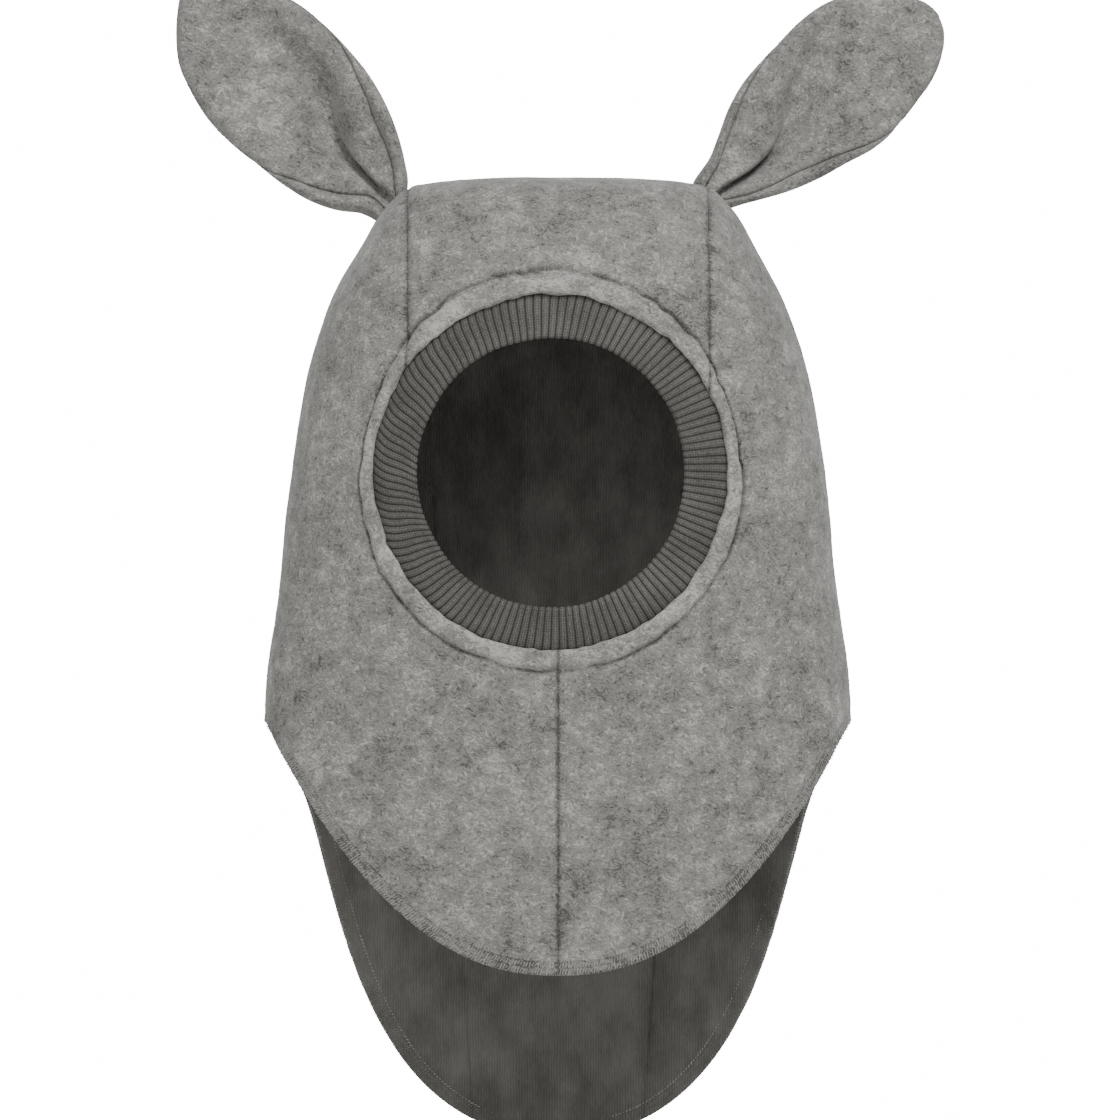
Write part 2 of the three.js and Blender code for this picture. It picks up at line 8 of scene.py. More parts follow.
import bmesh
import bpy
import numpy as np
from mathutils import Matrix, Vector


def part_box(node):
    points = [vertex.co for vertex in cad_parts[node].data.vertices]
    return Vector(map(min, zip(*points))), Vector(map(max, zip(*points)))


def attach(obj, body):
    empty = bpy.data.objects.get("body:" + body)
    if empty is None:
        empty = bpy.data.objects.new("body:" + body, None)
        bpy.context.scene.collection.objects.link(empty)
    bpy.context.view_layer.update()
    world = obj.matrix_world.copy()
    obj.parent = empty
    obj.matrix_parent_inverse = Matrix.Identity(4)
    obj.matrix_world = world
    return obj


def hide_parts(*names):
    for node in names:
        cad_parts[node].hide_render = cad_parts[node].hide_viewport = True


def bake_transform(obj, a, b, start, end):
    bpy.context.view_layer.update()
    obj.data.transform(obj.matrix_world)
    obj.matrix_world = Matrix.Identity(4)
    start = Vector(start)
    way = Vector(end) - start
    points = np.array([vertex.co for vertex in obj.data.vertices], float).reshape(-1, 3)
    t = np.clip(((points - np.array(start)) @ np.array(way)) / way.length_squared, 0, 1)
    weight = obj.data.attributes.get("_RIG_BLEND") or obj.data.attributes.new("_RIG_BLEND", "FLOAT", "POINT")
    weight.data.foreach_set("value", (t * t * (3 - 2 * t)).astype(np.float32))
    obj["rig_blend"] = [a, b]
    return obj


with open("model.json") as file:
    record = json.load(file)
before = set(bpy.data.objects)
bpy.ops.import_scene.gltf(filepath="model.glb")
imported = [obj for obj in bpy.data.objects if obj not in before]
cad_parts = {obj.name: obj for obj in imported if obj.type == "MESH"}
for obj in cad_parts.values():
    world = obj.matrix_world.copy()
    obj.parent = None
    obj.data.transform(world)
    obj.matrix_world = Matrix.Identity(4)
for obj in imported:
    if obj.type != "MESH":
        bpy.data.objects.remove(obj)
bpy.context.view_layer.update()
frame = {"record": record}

log = logging.getLogger("balaclava")

MM = 0.001
FORWARD = np.array([0, -1.0, 0])
Array = np.ndarray
Piece = bpy.types.Object
Socket = bpy.types.NodeSocket
Tree = bpy.types.NodeTree


class Panel(Enum):
    """The panels that each layer of the hood is cut into, and the size of cloth each is cut from."""

    CENTRE = "centre"
    LEFT = "left"
    RIGHT = "right"

    @property
    def flat(self) -> tuple[float, float]:
        """The width and length of the cloth, in metres."""
        return (0.125, 0.56) if self is Panel.CENTRE else (0.30, 0.42)


class Hem(Enum):
    """The two halves of the hood's hem."""

    BIB = "bib"
    FLAP = "flap"


def smoothstep(low: float, high: float, value: Array) -> Array:
    """A smooth ramp from 0 at low to 1 at high.

    Args:
        low: where the ramp starts.
        high: where it ends.
        value: the numbers to ramp.

    Returns:
        The ramped numbers, from 0 to 1.
    """
    t = np.clip((value - low) / (high - low), 0.0, 1.0)
    return t * t * (3.0 - 2.0 * t)


def bump(centre: float, width: float, value: Array) -> Array:
    """A bell of height 1 about a centre."""
    return np.exp(-(((value - centre) / width) ** 2))


def unit(vectors: Array) -> Array:
    """The vectors at length 1."""
    return vectors / np.maximum(np.linalg.norm(vectors, axis=-1, keepdims=True), 1e-12)


def run_lengths(points: Array) -> Array:
    """How far along a run of points each one lies."""
    return np.concatenate([[0.0], np.cumsum(np.linalg.norm(np.diff(points, axis=0), axis=1))])


def rounded(from_edge: Array, radius: float) -> Array:
    """The share of its height that a rounded edge has, from 0 at the edge to 1 a radius in."""
    t = np.clip(1 - from_edge / radius, 0, 1)
    return np.sqrt(np.maximum(0, 1 - t * t))


class SoftNoise:
    """Smooth seeded noise from -1 to 1, on a lattice that repeats far apart."""

    SIDE = 24

    def __init__(self, seed: int) -> None:
        """Draws the lattice.

        Args:
            seed: makes the noise the same on each run.
        """
        self.lattice = np.random.RandomState(seed).uniform(-1.0, 1.0, (self.SIDE,) * 3)

    def at(self, points: Array, size: float) -> Array:
        """The noise at points.

        Args:
            points: places, in metres.
            size: the width of one swell, in metres.

        Returns:
            One number for each point.
        """
        scaled = points / size + 100.0
        cell = np.floor(scaled).astype(int)
        t = scaled - cell
        t = t * t * (3.0 - 2.0 * t)
        total = np.zeros(points.shape[:-1])
        for corner in range(8):
            step = np.array([(corner >> axis) & 1 for axis in range(3)])
            weight = np.prod(np.where(step == 1, t, 1.0 - t), axis=-1)
            index = np.moveaxis((cell + step) % self.SIDE, -1, 0)
            total += weight * self.lattice[tuple(index)]
        return total


def new_object(name: str, data: bpy.types.ID) -> Piece:
    """A new object in the scene that holds some data."""
    made = bpy.data.objects.new(name, data)
    bpy.context.scene.collection.objects.link(made)
    return made


def mesh_object(name: str, points: Array, faces: Sequence[Sequence[int]]) -> Piece:
    """A smooth-shaded mesh object at the origin.

    Args:
        name: the object's name.
        points: its vertices, in metres.
        faces: its faces, as vertex numbers.

    Returns:
        The object, linked to the scene.
    """
    mesh = bpy.data.meshes.new(name)
    mesh.from_pydata(np.asarray(points, float).tolist(), [], [list(map(int, f)) for f in faces])
    mesh.validate()
    mesh.shade_smooth()
    return new_object(name, mesh)


def set_attribute(piece: Piece, name: str, values: Array) -> None:
    """Stores one number, or one vector, for each vertex of a piece.

    Args:
        piece: the mesh object.
        name: the attribute's name.
        values: one row for each vertex.
    """
    values = np.asarray(values, np.float32)
    vector = values.ndim == 2
    made = piece.data.attributes.new(name, "FLOAT_VECTOR" if vector else "FLOAT", "POINT")
    made.data.foreach_set("vector" if vector else "value", values.ravel())


def hand_in(piece: Piece, body: str, slot: str, *nodes: str) -> None:
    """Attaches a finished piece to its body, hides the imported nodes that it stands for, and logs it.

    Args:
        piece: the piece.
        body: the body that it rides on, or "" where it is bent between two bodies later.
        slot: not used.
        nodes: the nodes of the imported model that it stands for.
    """
    if body:
        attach(piece, body)
    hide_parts(*nodes)
    log.info("%s: %d faces", piece.name, len(piece.data.polygons))


# The hood's form


@dataclass(frozen=True)
class HoodForm:
    """The outside of the hood, in metres. Drops are measured down from the outside of the crown."""

    wall: float
    face_side: float
    face_drop: float
    face_radius: float
    hem_half_width: float
    flap_drop: float
    wool: float = 2.2 * MM
    lining: float = 1.3 * MM
    crown_half_width: float = 61 * MM
    crown_edge_drop: float = 5.5 * MM
    crown_half_depth: float = 33 * MM
    brow_half_width: float = 91 * MM
    brow_drop: float = 50 * MM
    eye_half_width: float = 106 * MM
    eye_drop: float = 113 * MM
    tip_drop: float = 217 * MM
    bib_drop: float = 318 * MM
    face_depth: float = 57 * MM
    nape_depth: float = 62 * MM
    neck_depth: float = 50 * MM
    squareness: float = 2.35
    bib_curve: float = 2.25
    centre_half_width: float = 60 * MM
    centre_hem_half_width: float = 34 * MM
    eye_level: int = 8
    skirt_start: float = 0.5
    halvings: int = 40
    tables: dict = field(default_factory=dict, compare=False, repr=False)

    @classmethod
    def from_frame(cls) -> "HoodForm":
        """The form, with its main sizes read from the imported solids."""
        centre_low, centre_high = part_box("outer_centre_panel")
        rib_low, rib_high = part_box("face_rib")
        left_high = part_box("outer_left_panel")[1]
        form = cls(
            wall=centre_high.z,
            face_side=(rib_low.x + rib_high.x) / 2,
            face_drop=centre_high.z - (rib_low.z + rib_high.z) / 2,
            face_radius=(rib_high.z - rib_low.z) / 2 + 0.4 * MM,
            hem_half_width=left_high.x,
            flap_drop=centre_high.z - centre_low.z,
        )
        form.fill_tables()
        return form

    def stations(self) -> Array:
        """The level sections from crown to flap hem: drop, half width, depth in front, depth behind."""
        temple_drop = 0.57 * self.brow_drop + 0.43 * self.eye_drop
        temple_width = 0.44 * self.brow_half_width + 0.56 * self.eye_half_width
        crown, deep, brow = self.crown_half_width, self.crown_half_depth, self.brow_half_width
        front, nape, neck, hem = self.face_depth, self.nape_depth, self.neck_depth, self.hem_half_width
        return np.array(
            [
                (0.0, 0.0, 0.0, 0.0),
                (0.4 * MM, 0.5 * crown, 0.36 * deep, 0.36 * deep),
                (2 * MM, 0.82 * crown, 0.7 * deep, 0.72 * deep),
                (self.crown_edge_drop, crown, 0.97 * deep, 1.03 * deep),
                (0.27 * self.brow_drop, 0.74 * brow, 0.72 * front, 0.72 * nape),
                (0.58 * self.brow_drop, 0.873 * brow, 0.84 * front, 0.87 * nape),
                (self.brow_drop, brow, 0.92 * front, 0.95 * nape),
                (temple_drop, temple_width, 0.975 * front, nape),
                (self.eye_drop, self.eye_half_width, front, nape),
                (
                    (self.eye_drop + self.tip_drop) / 2,
                    (self.eye_half_width + hem) / 2,
                    (front + neck) / 2,
                    (nape + neck) / 2,
                ),
                (self.tip_drop, hem, neck, neck),
                ((self.tip_drop + self.flap_drop) / 2, hem, neck + 1 * MM, neck + 1 * MM),
                (self.flap_drop, hem, neck + 4 * MM, neck + 6 * MM),
            ]
        )

    def fill_tables(self) -> None:
        """Draws the smooth curve through the stations and the two hems, once."""
        stations = self.stations()
        last = len(stations) - 1
        levels = np.linspace(0, last, 400 * last + 1)
        cell = np.minimum(levels.astype(int), last - 1)
        t = (levels - cell)[:, None]
        before = np.vstack([2 * stations[0] - stations[1], stations[:-1]])
        after = np.vstack([stations[1:], 2 * stations[-1] - stations[-2]])
        p0, p1, p2, p3 = before[cell], stations[cell], stations[cell + 1], after[cell + 1]
        m1, m2 = (p2 - p0) / 2, (p3 - p1) / 2
        curve = p1 + m1 * t + (3 * (p2 - p1) - 2 * m1 - m2) * t**2 + (2 * (p1 - p2) + m1 + m2) * t**3
        self.tables["levels"] = levels
        self.tables["curve"] = curve
        share = np.linspace(1, 0, 241)
        bib = np.stack(
            [self.hem_half_width * share, self.bib_drop - (self.bib_drop - self.tip_drop) * share**self.bib_curve], -1
        )
        self.tables[Hem.BIB] = self.by_length(bib)
        self.tables[Hem.FLAP] = self.by_length(self.flap_outline())

    def flap_outline(self) -> Array:
        """Half of the flap's hem as (half width, drop), from a side point to the middle."""
        height, width = self.flap_drop - self.tip_drop, self.hem_half_width
        shoulder = np.array([0.842 * width, self.tip_drop + 0.24 * height])
        t = np.linspace(0, 1, 121)[:, None]
        start, pull = np.array([width, self.tip_drop]), np.array([0.905 * width, self.tip_drop + 0.09 * height])
        upper = (1 - t) ** 2 * start + 2 * (1 - t) * t * pull + t**2 * shoulder
        a = np.array([0.73 * width, self.tip_drop + 0.52 * height])
        b = np.array([0.62 * width, self.flap_drop])
        end = np.array([0.0, self.flap_drop])
        lower = (1 - t) ** 3 * shoulder + 3 * (1 - t) ** 2 * t * a + 3 * (1 - t) * t**2 * b + t**3 * end
        return np.vstack([upper, lower[1:]])

    @staticmethod
    def by_length(points: Array) -> Array:
        """Adds to each point of a run its share of the run's length."""
        lengths = run_lengths(points)
        return np.column_stack([lengths / lengths[-1], points])

    def hem_at(self, hem: Hem, share: Array) -> tuple[Array, Array]:
        """The half width and drop of a hem, at a share of its length from the side point."""
        table = self.tables[hem]
        return np.interp(share, table[:, 0], table[:, 1]), np.interp(share, table[:, 0], table[:, 2])

    def section_at_level(self, level: Array) -> tuple[Array, Array, Array, Array]:
        """The drop, half width, depth in front and depth behind, at a level."""
        levels, curve = self.tables["levels"], self.tables["curve"]
        return tuple(np.interp(level, levels, curve[:, column]) for column in range(4))

    def section_at_drop(self, drop: Array) -> tuple[Array, Array, Array, Array]:
        """The same, at a drop."""
        curve = self.tables["curve"]
        return tuple(np.interp(drop, curve[:, 0], curve[:, column]) for column in range(4))

    def shaped(self, share: Array, drop: Array, behind: Array) -> Array:
        """Points of the outside.

        Args:
            share: how far out each lies, as a share of the half width.
            drop: how far below the crown.
            behind: whether it is behind.

        Returns:
            One point for each.
        """
        _, half_width, ahead, back = self.section_at_drop(drop)
        rest = np.maximum(0.0, 1 - np.abs(share) ** self.squareness) ** (1 / self.squareness)
        depth = np.where(behind, back, -ahead) * rest
        return np.stack([share * half_width, depth, self.wall - drop], -1)

    def point(self, turn: Array, run: Array) -> Array:
        """Points of the outside.

        Args:
            turn: 0 at the middle of the face, 1/4 at the wearer's left.
            run: 0 at the crown, 1 at the hem.

        Returns:
            One point for each pair.
        """
        turn, run = np.broadcast_arrays(turn, run)
        angle = 2 * np.pi * turn
        behind = np.cos(angle) < 0
        side = np.where(np.sin(angle) < 0, -1.0, 1.0)
        ring = np.abs(np.sin(angle)) ** (2 / self.squareness)
        deep = np.abs(np.cos(angle)) ** (2 / self.squareness)
        drop, half_width, ahead, back = self.section_at_level(run / self.skirt_start * self.eye_level)
        upper = np.stack([side * ring * half_width, deep * np.where(behind, back, -ahead), self.wall - drop], -1)
        from_side = np.abs(np.abs(np.mod(turn, 1.0) - 0.5) - 0.25) * 4
        flap, bib = self.hem_at(Hem.FLAP, from_side), self.hem_at(Hem.BIB, from_side)
        hem_width, hem_drop = (np.where(behind, *pair) for pair in zip(flap, bib))
        hem_share = np.minimum(1.0, hem_width / self.section_at_drop(hem_drop)[1])
        t = np.clip((run - self.skirt_start) / (1 - self.skirt_start), 0, 1)
        share = side * (ring * (1 - t) + hem_share * t)
        lower = self.shaped(share, self.eye_drop * (1 - t) + hem_drop * t, behind)
        return np.where((run <= self.skirt_start)[..., None], upper, lower)

    def normal(self, turn: Array, run: Array) -> Array:
        """Outward normals at the same places."""
        step = 1e-3
        run = np.maximum(run, 2e-3) + 0 * turn
        across = self.point(turn + step, run) - self.point(turn - step, run)
        down = self.point(turn, np.minimum(run + step, 1.0)) - self.point(turn, run - step)
        return unit(np.cross(down, across))

    def place_in_front(self, x: Array, drop: Array) -> tuple[Array, Array]:
        """Finds places on the front of the hood by halving.

        Args:
            x: how far to the wearer's left.
            drop: how far below the crown.

        Returns:
            The turn and run of each place.
        """
        levels, curve = self.tables["levels"], self.tables["curve"]
        share = np.clip(np.abs(x) / self.section_at_drop(drop)[1], 0, 1)
        run_above = np.interp(drop, curve[:, 0], levels) / self.eye_level * self.skirt_start
        low, high = np.zeros_like(share), np.full_like(share, 0.25)
        for _ in range(self.halvings):
            middle = (low + high) / 2
            ring = np.abs(np.sin(2 * np.pi * middle)) ** (2 / self.squareness)
            hem_width, hem_drop = self.hem_at(Hem.BIB, 1 - 4 * middle)
            hem_share = np.minimum(1.0, hem_width / self.section_at_drop(hem_drop)[1])
            t = np.clip((drop - self.eye_drop) / (hem_drop - self.eye_drop), 0, 1)
            short = ring * (1 - t) + hem_share * t < share
            low, high = np.where(short, middle, low), np.where(short, high, middle)
        middle = (low + high) / 2
        hem_drop = self.hem_at(Hem.BIB, 1 - 4 * middle)[1]
        t = np.clip((drop - self.eye_drop) / (hem_drop - self.eye_drop), 0, 1)
        run_below = self.skirt_start + (1 - self.skirt_start) * t
        return np.sign(x) * middle, np.where(drop <= self.eye_drop, run_above, run_below)

    def around_face(self, angle: Array, radius: Array) -> tuple[Array, Array]:
        """The x and drop at an angle and a radius about the middle of the face opening."""
        return self.face_side + radius * np.cos(angle), self.face_drop - radius * np.sin(angle)

    def front_at(self, x: Array, drop: Array) -> Array:
        """Points on the front of the hood."""
        return self.shaped(x / self.section_at_drop(drop)[1], drop, np.zeros(np.shape(x), bool))

    def on_front(self, x: Array, drop: Array, height: Array | float = 0.0) -> tuple[Array, Array]:
        """Points and normals on the front of the hood.

        Args:
            x: how far to the wearer's left.
            drop: how far below the crown.
            height: how far to raise the points along their normals.

        Returns:
            The points and the normals.
        """
        step = 0.4 * MM
        across = self.front_at(x + step, drop) - self.front_at(x - step, drop)
        up = self.front_at(x, drop - step) - self.front_at(x, drop + step)
        normals = unit(np.cross(across, up))
        return self.front_at(x, drop) + normals * np.asarray(height)[..., None], normals

    def seam_slope(self) -> float:
        """How fast each seam behind runs in towards the middle, to one unit down."""
        return (self.centre_half_width - self.centre_hem_half_width) / (self.flap_drop - self.crown_edge_drop)

    def seam_half_width(self, drop: Array) -> Array:
        """Half the width of the centre panel behind, at a drop."""
        t = np.maximum(0.0, (drop - self.crown_edge_drop) / (self.flap_drop - self.crown_edge_drop))
        return self.centre_half_width * (1 - t) + self.centre_hem_half_width * t

    def seam_distance(self, points: Array) -> Array:
        """How far points of the hood lie from the nearest panel seam."""
        x, y, drop = np.abs(points[..., 0]), points[..., 1], self.wall - points[..., 2]
        ahead = np.where(drop < self.face_drop, np.abs(x - self.centre_half_width), x)
        return np.where(y < 0, ahead, np.abs(x - self.seam_half_width(drop)))

    def face_distance(self, points: Array) -> Array:
        """How far points of the hood lie outside the edge of the face opening, seen from the front."""
        x, drop = points[..., 0], self.wall - points[..., 2]
        radius = np.hypot(x - self.face_side, drop - self.face_drop) - self.face_radius
        return np.where(points[..., 1] < 0, radius, 1.0)

    def nearest_hem(self, points: Array) -> Array:
        """How far points lie from the hem.

        Args:
            points: places on the hood.

        Returns:
            The distance of each, or 1 where it is far away.
        """
        turns = np.linspace(0, 1, 1201)
        hem = self.point(turns, np.ones_like(turns))
        away = np.full(len(points), 1.0)
        near = np.where(self.wall - points[:, 2] > self.tip_drop - 25 * MM)[0]
        for part in np.array_split(near, max(1, len(near) // 4000)):
            gaps = np.linalg.norm(points[part][:, None, :] - hem[None, :, :], axis=2)
            away[part] = gaps.min(axis=1)
        return away

    def along_cloth(self, points: Array) -> Array:
        """Measures along the cloth.

        Args:
            points: places on the hood.

        Returns:
            For each, how far it lies sideways from the middle, and down from the crown.
        """
        aspect = 0.52
        share = np.linspace(0, 1, 400)
        depth = aspect * np.maximum(0, 1 - share**self.squareness) ** (1 / self.squareness)
        length = np.concatenate([[0.0], np.cumsum(np.hypot(np.diff(share), np.diff(depth)))])
        drop = self.wall - points[:, 2]
        half_width = np.maximum(self.section_at_drop(drop)[1], 1 * MM)
        across = np.interp(np.clip(np.abs(points[:, 0]) / half_width, 0, 1), share, length) * half_width
        return np.column_stack([np.sign(points[:, 0]) * across, drop, np.zeros(len(points))])


# A sheet of cloth over the hood: columns run from the face opening to the hem


@dataclass(frozen=True)
class EdgeProfile:
    """How the cloth turns at the face opening: distances from its edge and heights above the plain cloth."""

    away: Array
    height: Array
    inside_away: Array


@dataclass
class Sheet:
    """An open sheet of cloth before its thickness is added."""

    points: Array
    inside: Array
    normals: Array
    height: Array
    from_face: Array
    from_hem: Array
    faces: list[tuple[int, ...]]

    @classmethod
    def bare(cls, points: Array, normals: Array, from_face: Array, from_hem: float) -> "Sheet":
        """Loose points of the plain form, as a sheet with no faces."""
        return cls(points, points, normals, 0 * from_face, from_face, np.full(len(points), from_hem), [])

    def only(self, chosen: Array) -> "Sheet":
        """The sheet's chosen faces, with the vertices that they use."""
        faces = [f for f, keep in zip(self.faces, chosen) if keep]
        used = np.unique([v for f in faces for v in f])
        number = np.full(len(self.points), -1)
        number[used] = np.arange(len(used))
        lookup = number.tolist()
        renumbered = [tuple(lookup[v] for v in f) for f in faces]
        fields = (self.points, self.inside, self.normals, self.height, self.from_face, self.from_hem)
        return Sheet(*(values[used] for values in fields), renumbered)

    def centres(self) -> Array:
        """The middle of each face."""
        sizes = np.array([len(f) for f in self.faces])
        owner = np.repeat(np.arange(len(sizes)), sizes)
        corners = self.points[[v for f in self.faces for v in f]]
        return np.stack([np.bincount(owner, corners[:, k]) / sizes for k in range(3)], -1)

    def area(self) -> float:
        """The sheet's area, in square metres."""
        fans = np.array([(f[0], f[i], f[i + 1]) for f in self.faces for i in range(1, len(f) - 1)])
        a, b, c = (self.points[fans[:, k]] for k in range(3))
        return 0.5 * float(np.linalg.norm(np.cross(b - a, c - a), axis=1).sum())


@dataclass(frozen=True)
class SheetGrid:
    """Lays the columns and rows of a sheet over the hood."""

    form: HoodForm
    columns: int
    rows: int
    edge: EdgeProfile
    hem_rows: Array

    @staticmethod
    def chart(turn: Array, run: Array) -> Array:
        """Flat places of the hood with the crown in the middle and the hem round the rim."""
        angle = 2 * np.pi * turn
        return np.stack([run * np.sin(angle), -run * np.cos(angle)], -1)

    @staticmethod
    def unchart(flat: Array) -> tuple[Array, Array]:
        """The turn and run of a flat place."""
        return np.arctan2(flat[..., 0], -flat[..., 1]) / (2 * np.pi), np.linalg.norm(flat, axis=-1)

    def ends(self) -> tuple[Array, Array]:
        """Flat places where the columns start, at the face opening, and end, at the hem."""
        form = self.form
        middle_turn, middle_run = form.place_in_front(np.array([form.face_side]), np.array([form.face_drop]))
        middle = self.chart(middle_turn, middle_run)[0]
        angles = -np.pi / 2 + np.linspace(0, 2 * np.pi, 1441)
        x, drop = form.around_face(angles, form.face_radius)
        rim = self.chart(*form.place_in_front(x, drop)) - middle
        turns = np.linspace(-0.03, 1.03, 4001)
        hem = self.chart(turns, np.ones_like(turns)) - middle
        rim_heading = np.unwrap(np.arctan2(rim[:, 1], rim[:, 0]))
        hem_heading = np.unwrap(np.arctan2(hem[:, 1], hem[:, 0]))
        hem_length = run_lengths(form.point(turns, np.ones_like(turns)))
        first, last = np.interp([rim_heading[0], rim_heading[-1]], hem_heading, hem_length)
        share = (np.interp(rim_heading, hem_heading, hem_length) - first) / (last - first)
        density = 0.45 * np.linspace(0, 1, len(angles)) + 0.55 * share
        wanted = np.arange(self.columns) / self.columns
        heading = np.interp(wanted, density, rim_heading)
        start_angle = np.interp(heading, rim_heading, angles)
        x, drop = form.around_face(start_angle, form.face_radius)
        start = self.chart(*form.place_in_front(x, drop))
        end_turn = np.interp(heading, hem_heading, turns)
        return start, self.chart(end_turn, np.ones_like(end_turn))

    def build(self) -> Sheet:
        """The whole sheet, with quads between its columns and rows."""
        form, edge = self.form, self.edge
        start, end = self.ends()
        t = np.linspace(0, 1, 700)
        lines = start[:, None, :] * (1 - t)[None, :, None] + end[:, None, :] * t[None, :, None]
        dense = form.point(*self.unchart(lines))
        steps = np.linalg.norm(np.diff(dense, axis=1), axis=2)
        lengths = np.concatenate([np.zeros((self.columns, 1)), np.cumsum(steps, axis=1)], axis=1)
        near = edge.away
        points, inside, normals, away = [], [], [], []
        for column in range(self.columns):
            total = lengths[column, -1]
            hem = total - self.hem_rows
            middle = np.linspace(near[-1], hem[0], self.rows + 2)[1:-1]
            wanted = np.concatenate([near, middle, hem])
            within = np.concatenate([edge.inside_away, middle, hem])
            for places, into in ((wanted, points), (within, inside)):
                share = np.interp(np.maximum(places, 0), lengths[column], t)
                flat = start[column] * (1 - share)[:, None] + end[column] * share[:, None]
                turn, run = self.unchart(flat)
                back = np.minimum(places, 0)[:, None] * unit(dense[column, 3] - dense[column, 0])
                into.append(form.point(turn, run) + back)
                if into is points:
                    normals.append(form.normal(turn, run))
            away.append(wanted)
        shape = (self.columns, len(away[0]))
        points, inside, normals = (np.array(rows).reshape(-1, 3) for rows in (points, inside, normals))
        height = np.zeros(shape)
        height[:, : len(near)] = edge.height
        number = np.arange(points.shape[0]).reshape(shape)
        here, there = number, np.roll(number, -1, axis=0)
        quads = np.stack([here[:, :-1], here[:, 1:], there[:, 1:], there[:, :-1]], -1).reshape(-1, 4)
        from_face, from_hem = np.array(away).ravel(), form.nearest_hem(points)
        return Sheet(points, inside, normals, height.ravel(), from_face, from_hem, [tuple(q) for q in quads])


@dataclass(frozen=True)
class SeamCut:
    """A plane that cuts the sheet, and the box of the faces that it may cut."""

    point: Vector
    direction: Vector
    low: tuple[float, float, float]
    high: tuple[float, float, float]

    def reaches(self, centres: Array) -> Array:
        """Which faces lie in the box."""
        return np.all((centres > self.low) & (centres < self.high), axis=1)


@dataclass(frozen=True)
class SeamCutter:
    """Cuts a sheet along the seams of the hood's three panels."""

    form: HoodForm
    nearest: float = 30 * MM
    furthest: float = 90 * MM
    chin_reach: float = 20 * MM

    def cuts(self) -> list[SeamCut]:
        """The seams: each crown seam ahead and behind, then the chin seam."""
        form, far = self.form, math.inf
        eye = form.wall - form.face_drop
        found = []
        for side in (1, -1):
            low, high = sorted((side * self.nearest, side * self.furthest))
            ahead = Vector((side * form.centre_half_width, 0, 0))
            found.append(SeamCut(ahead, Vector((1, 0, 0)), (low, -far, eye), (high, 0, far)))
            top = Vector((side * form.centre_half_width, 0, form.wall - form.crown_edge_drop))
            leaning = Vector((1, 0, -side * form.seam_slope())).normalized()
            found.append(SeamCut(top, leaning, (low, -1 * MM, -far), (high, far, far)))
        reach = self.chin_reach
        found.append(SeamCut(Vector((0, 0, 0)), Vector((1, 0, 0)), (-reach, -far, -far), (reach, 0, eye)))
        return found

    def cut(self, sheet: Sheet) -> dict[Panel, Sheet]:
        """Cuts a whole sheet into its panels.

        Args:
            sheet: the whole sheet.

        Returns:
            The three panels.
        """
        mesh = bpy.data.meshes.new("cutting")
        mesh.from_pydata(sheet.points.tolist(), [], sheet.faces)
        bm = bmesh.new()
        bm.from_mesh(mesh)
        kinds = bm.verts.layers
        layers = [kinds.float_vector.new("inside"), kinds.float_vector.new("normal_of_cloth")]
        layers += [kinds.float.new(name) for name in ("height", "from_face", "from_hem")]
        carried = (sheet.inside, sheet.normals, sheet.height, sheet.from_face, sheet.from_hem)
        for layer, values in zip(layers, carried):
            for vert, value in zip(bm.verts, values.tolist()):
                vert[layer] = value
        for seam in self.cuts():
            centres = np.array([f.calc_center_median().to_tuple() for f in bm.faces])
            faces = [f for f, keep in zip(bm.faces, seam.reaches(centres)) if keep]
            geometry = faces + list({e for f in faces for e in f.edges}) + list({v for f in faces for v in f.verts})
            bmesh.ops.bisect_plane(bm, geom=geometry, dist=2e-5, plane_co=seam.point, plane_no=seam.direction)
        points = np.array([v.co for v in bm.verts])
        inside, normals, *fields = (np.array([v[layer] for v in bm.verts]) for layer in layers)
        bm.verts.index_update()
        faces = [tuple(v.index for v in f.verts) for f in bm.faces]
        bm.free()
        bpy.data.meshes.remove(mesh)
        return self.sorted_panels(Sheet(points, inside, unit(normals), *fields, faces))

    def sorted_panels(self, whole: Sheet) -> dict[Panel, Sheet]:
        """Sorts the faces of a cut sheet into the three panels."""
        form, centre = self.form, whole.centres()
        drop = form.wall - centre[:, 2]
        half = np.where(centre[:, 1] < 0, form.centre_half_width, form.seam_half_width(drop))
        above = (centre[:, 1] >= 0) | (drop < form.face_drop)
        middle = above & (np.abs(centre[:, 0]) < half)
        return {
            Panel.CENTRE: whole.only(middle),
            Panel.LEFT: whole.only(~middle & (centre[:, 0] > 0)),
            Panel.RIGHT: whole.only(~middle & (centre[:, 0] <= 0)),
        }


def closed_shell(name: str, outer: Array, inner: Array, faces: list[tuple[int, ...]]) -> Piece:
    """A closed piece of cloth from its two sides.

    Args:
        name: the piece's name.
        outer: the vertices of the outer side.
        inner: the vertices of the inner side, in the same order.
        faces: the outer side's faces.

    Returns:
        The piece.
    """
    count = len(outer)
    directed = {(f[i], f[(i + 1) % len(f)]) for f in faces for i in range(len(f))}
    edge = sorted((a, b) for a, b in directed if (b, a) not in directed)
    back = [tuple(v + count for v in reversed(f)) for f in faces]
    rim = [(b, a, a + count, b + count) for a, b in edge]
    return mesh_object(name, np.vstack([outer, inner]), list(faces) + back + rim)


# Finishes


def linear(red: float, green: float, blue: float) -> tuple[float, float, float, float]:
    """A screen colour from 0 to 255 as the shader's linear colour."""
    return tuple(((c / 255 + 0.055) / 1.055) ** 2.4 if c > 10 else c / 255 / 12.92 for c in (red, green, blue)) + (1.0,)


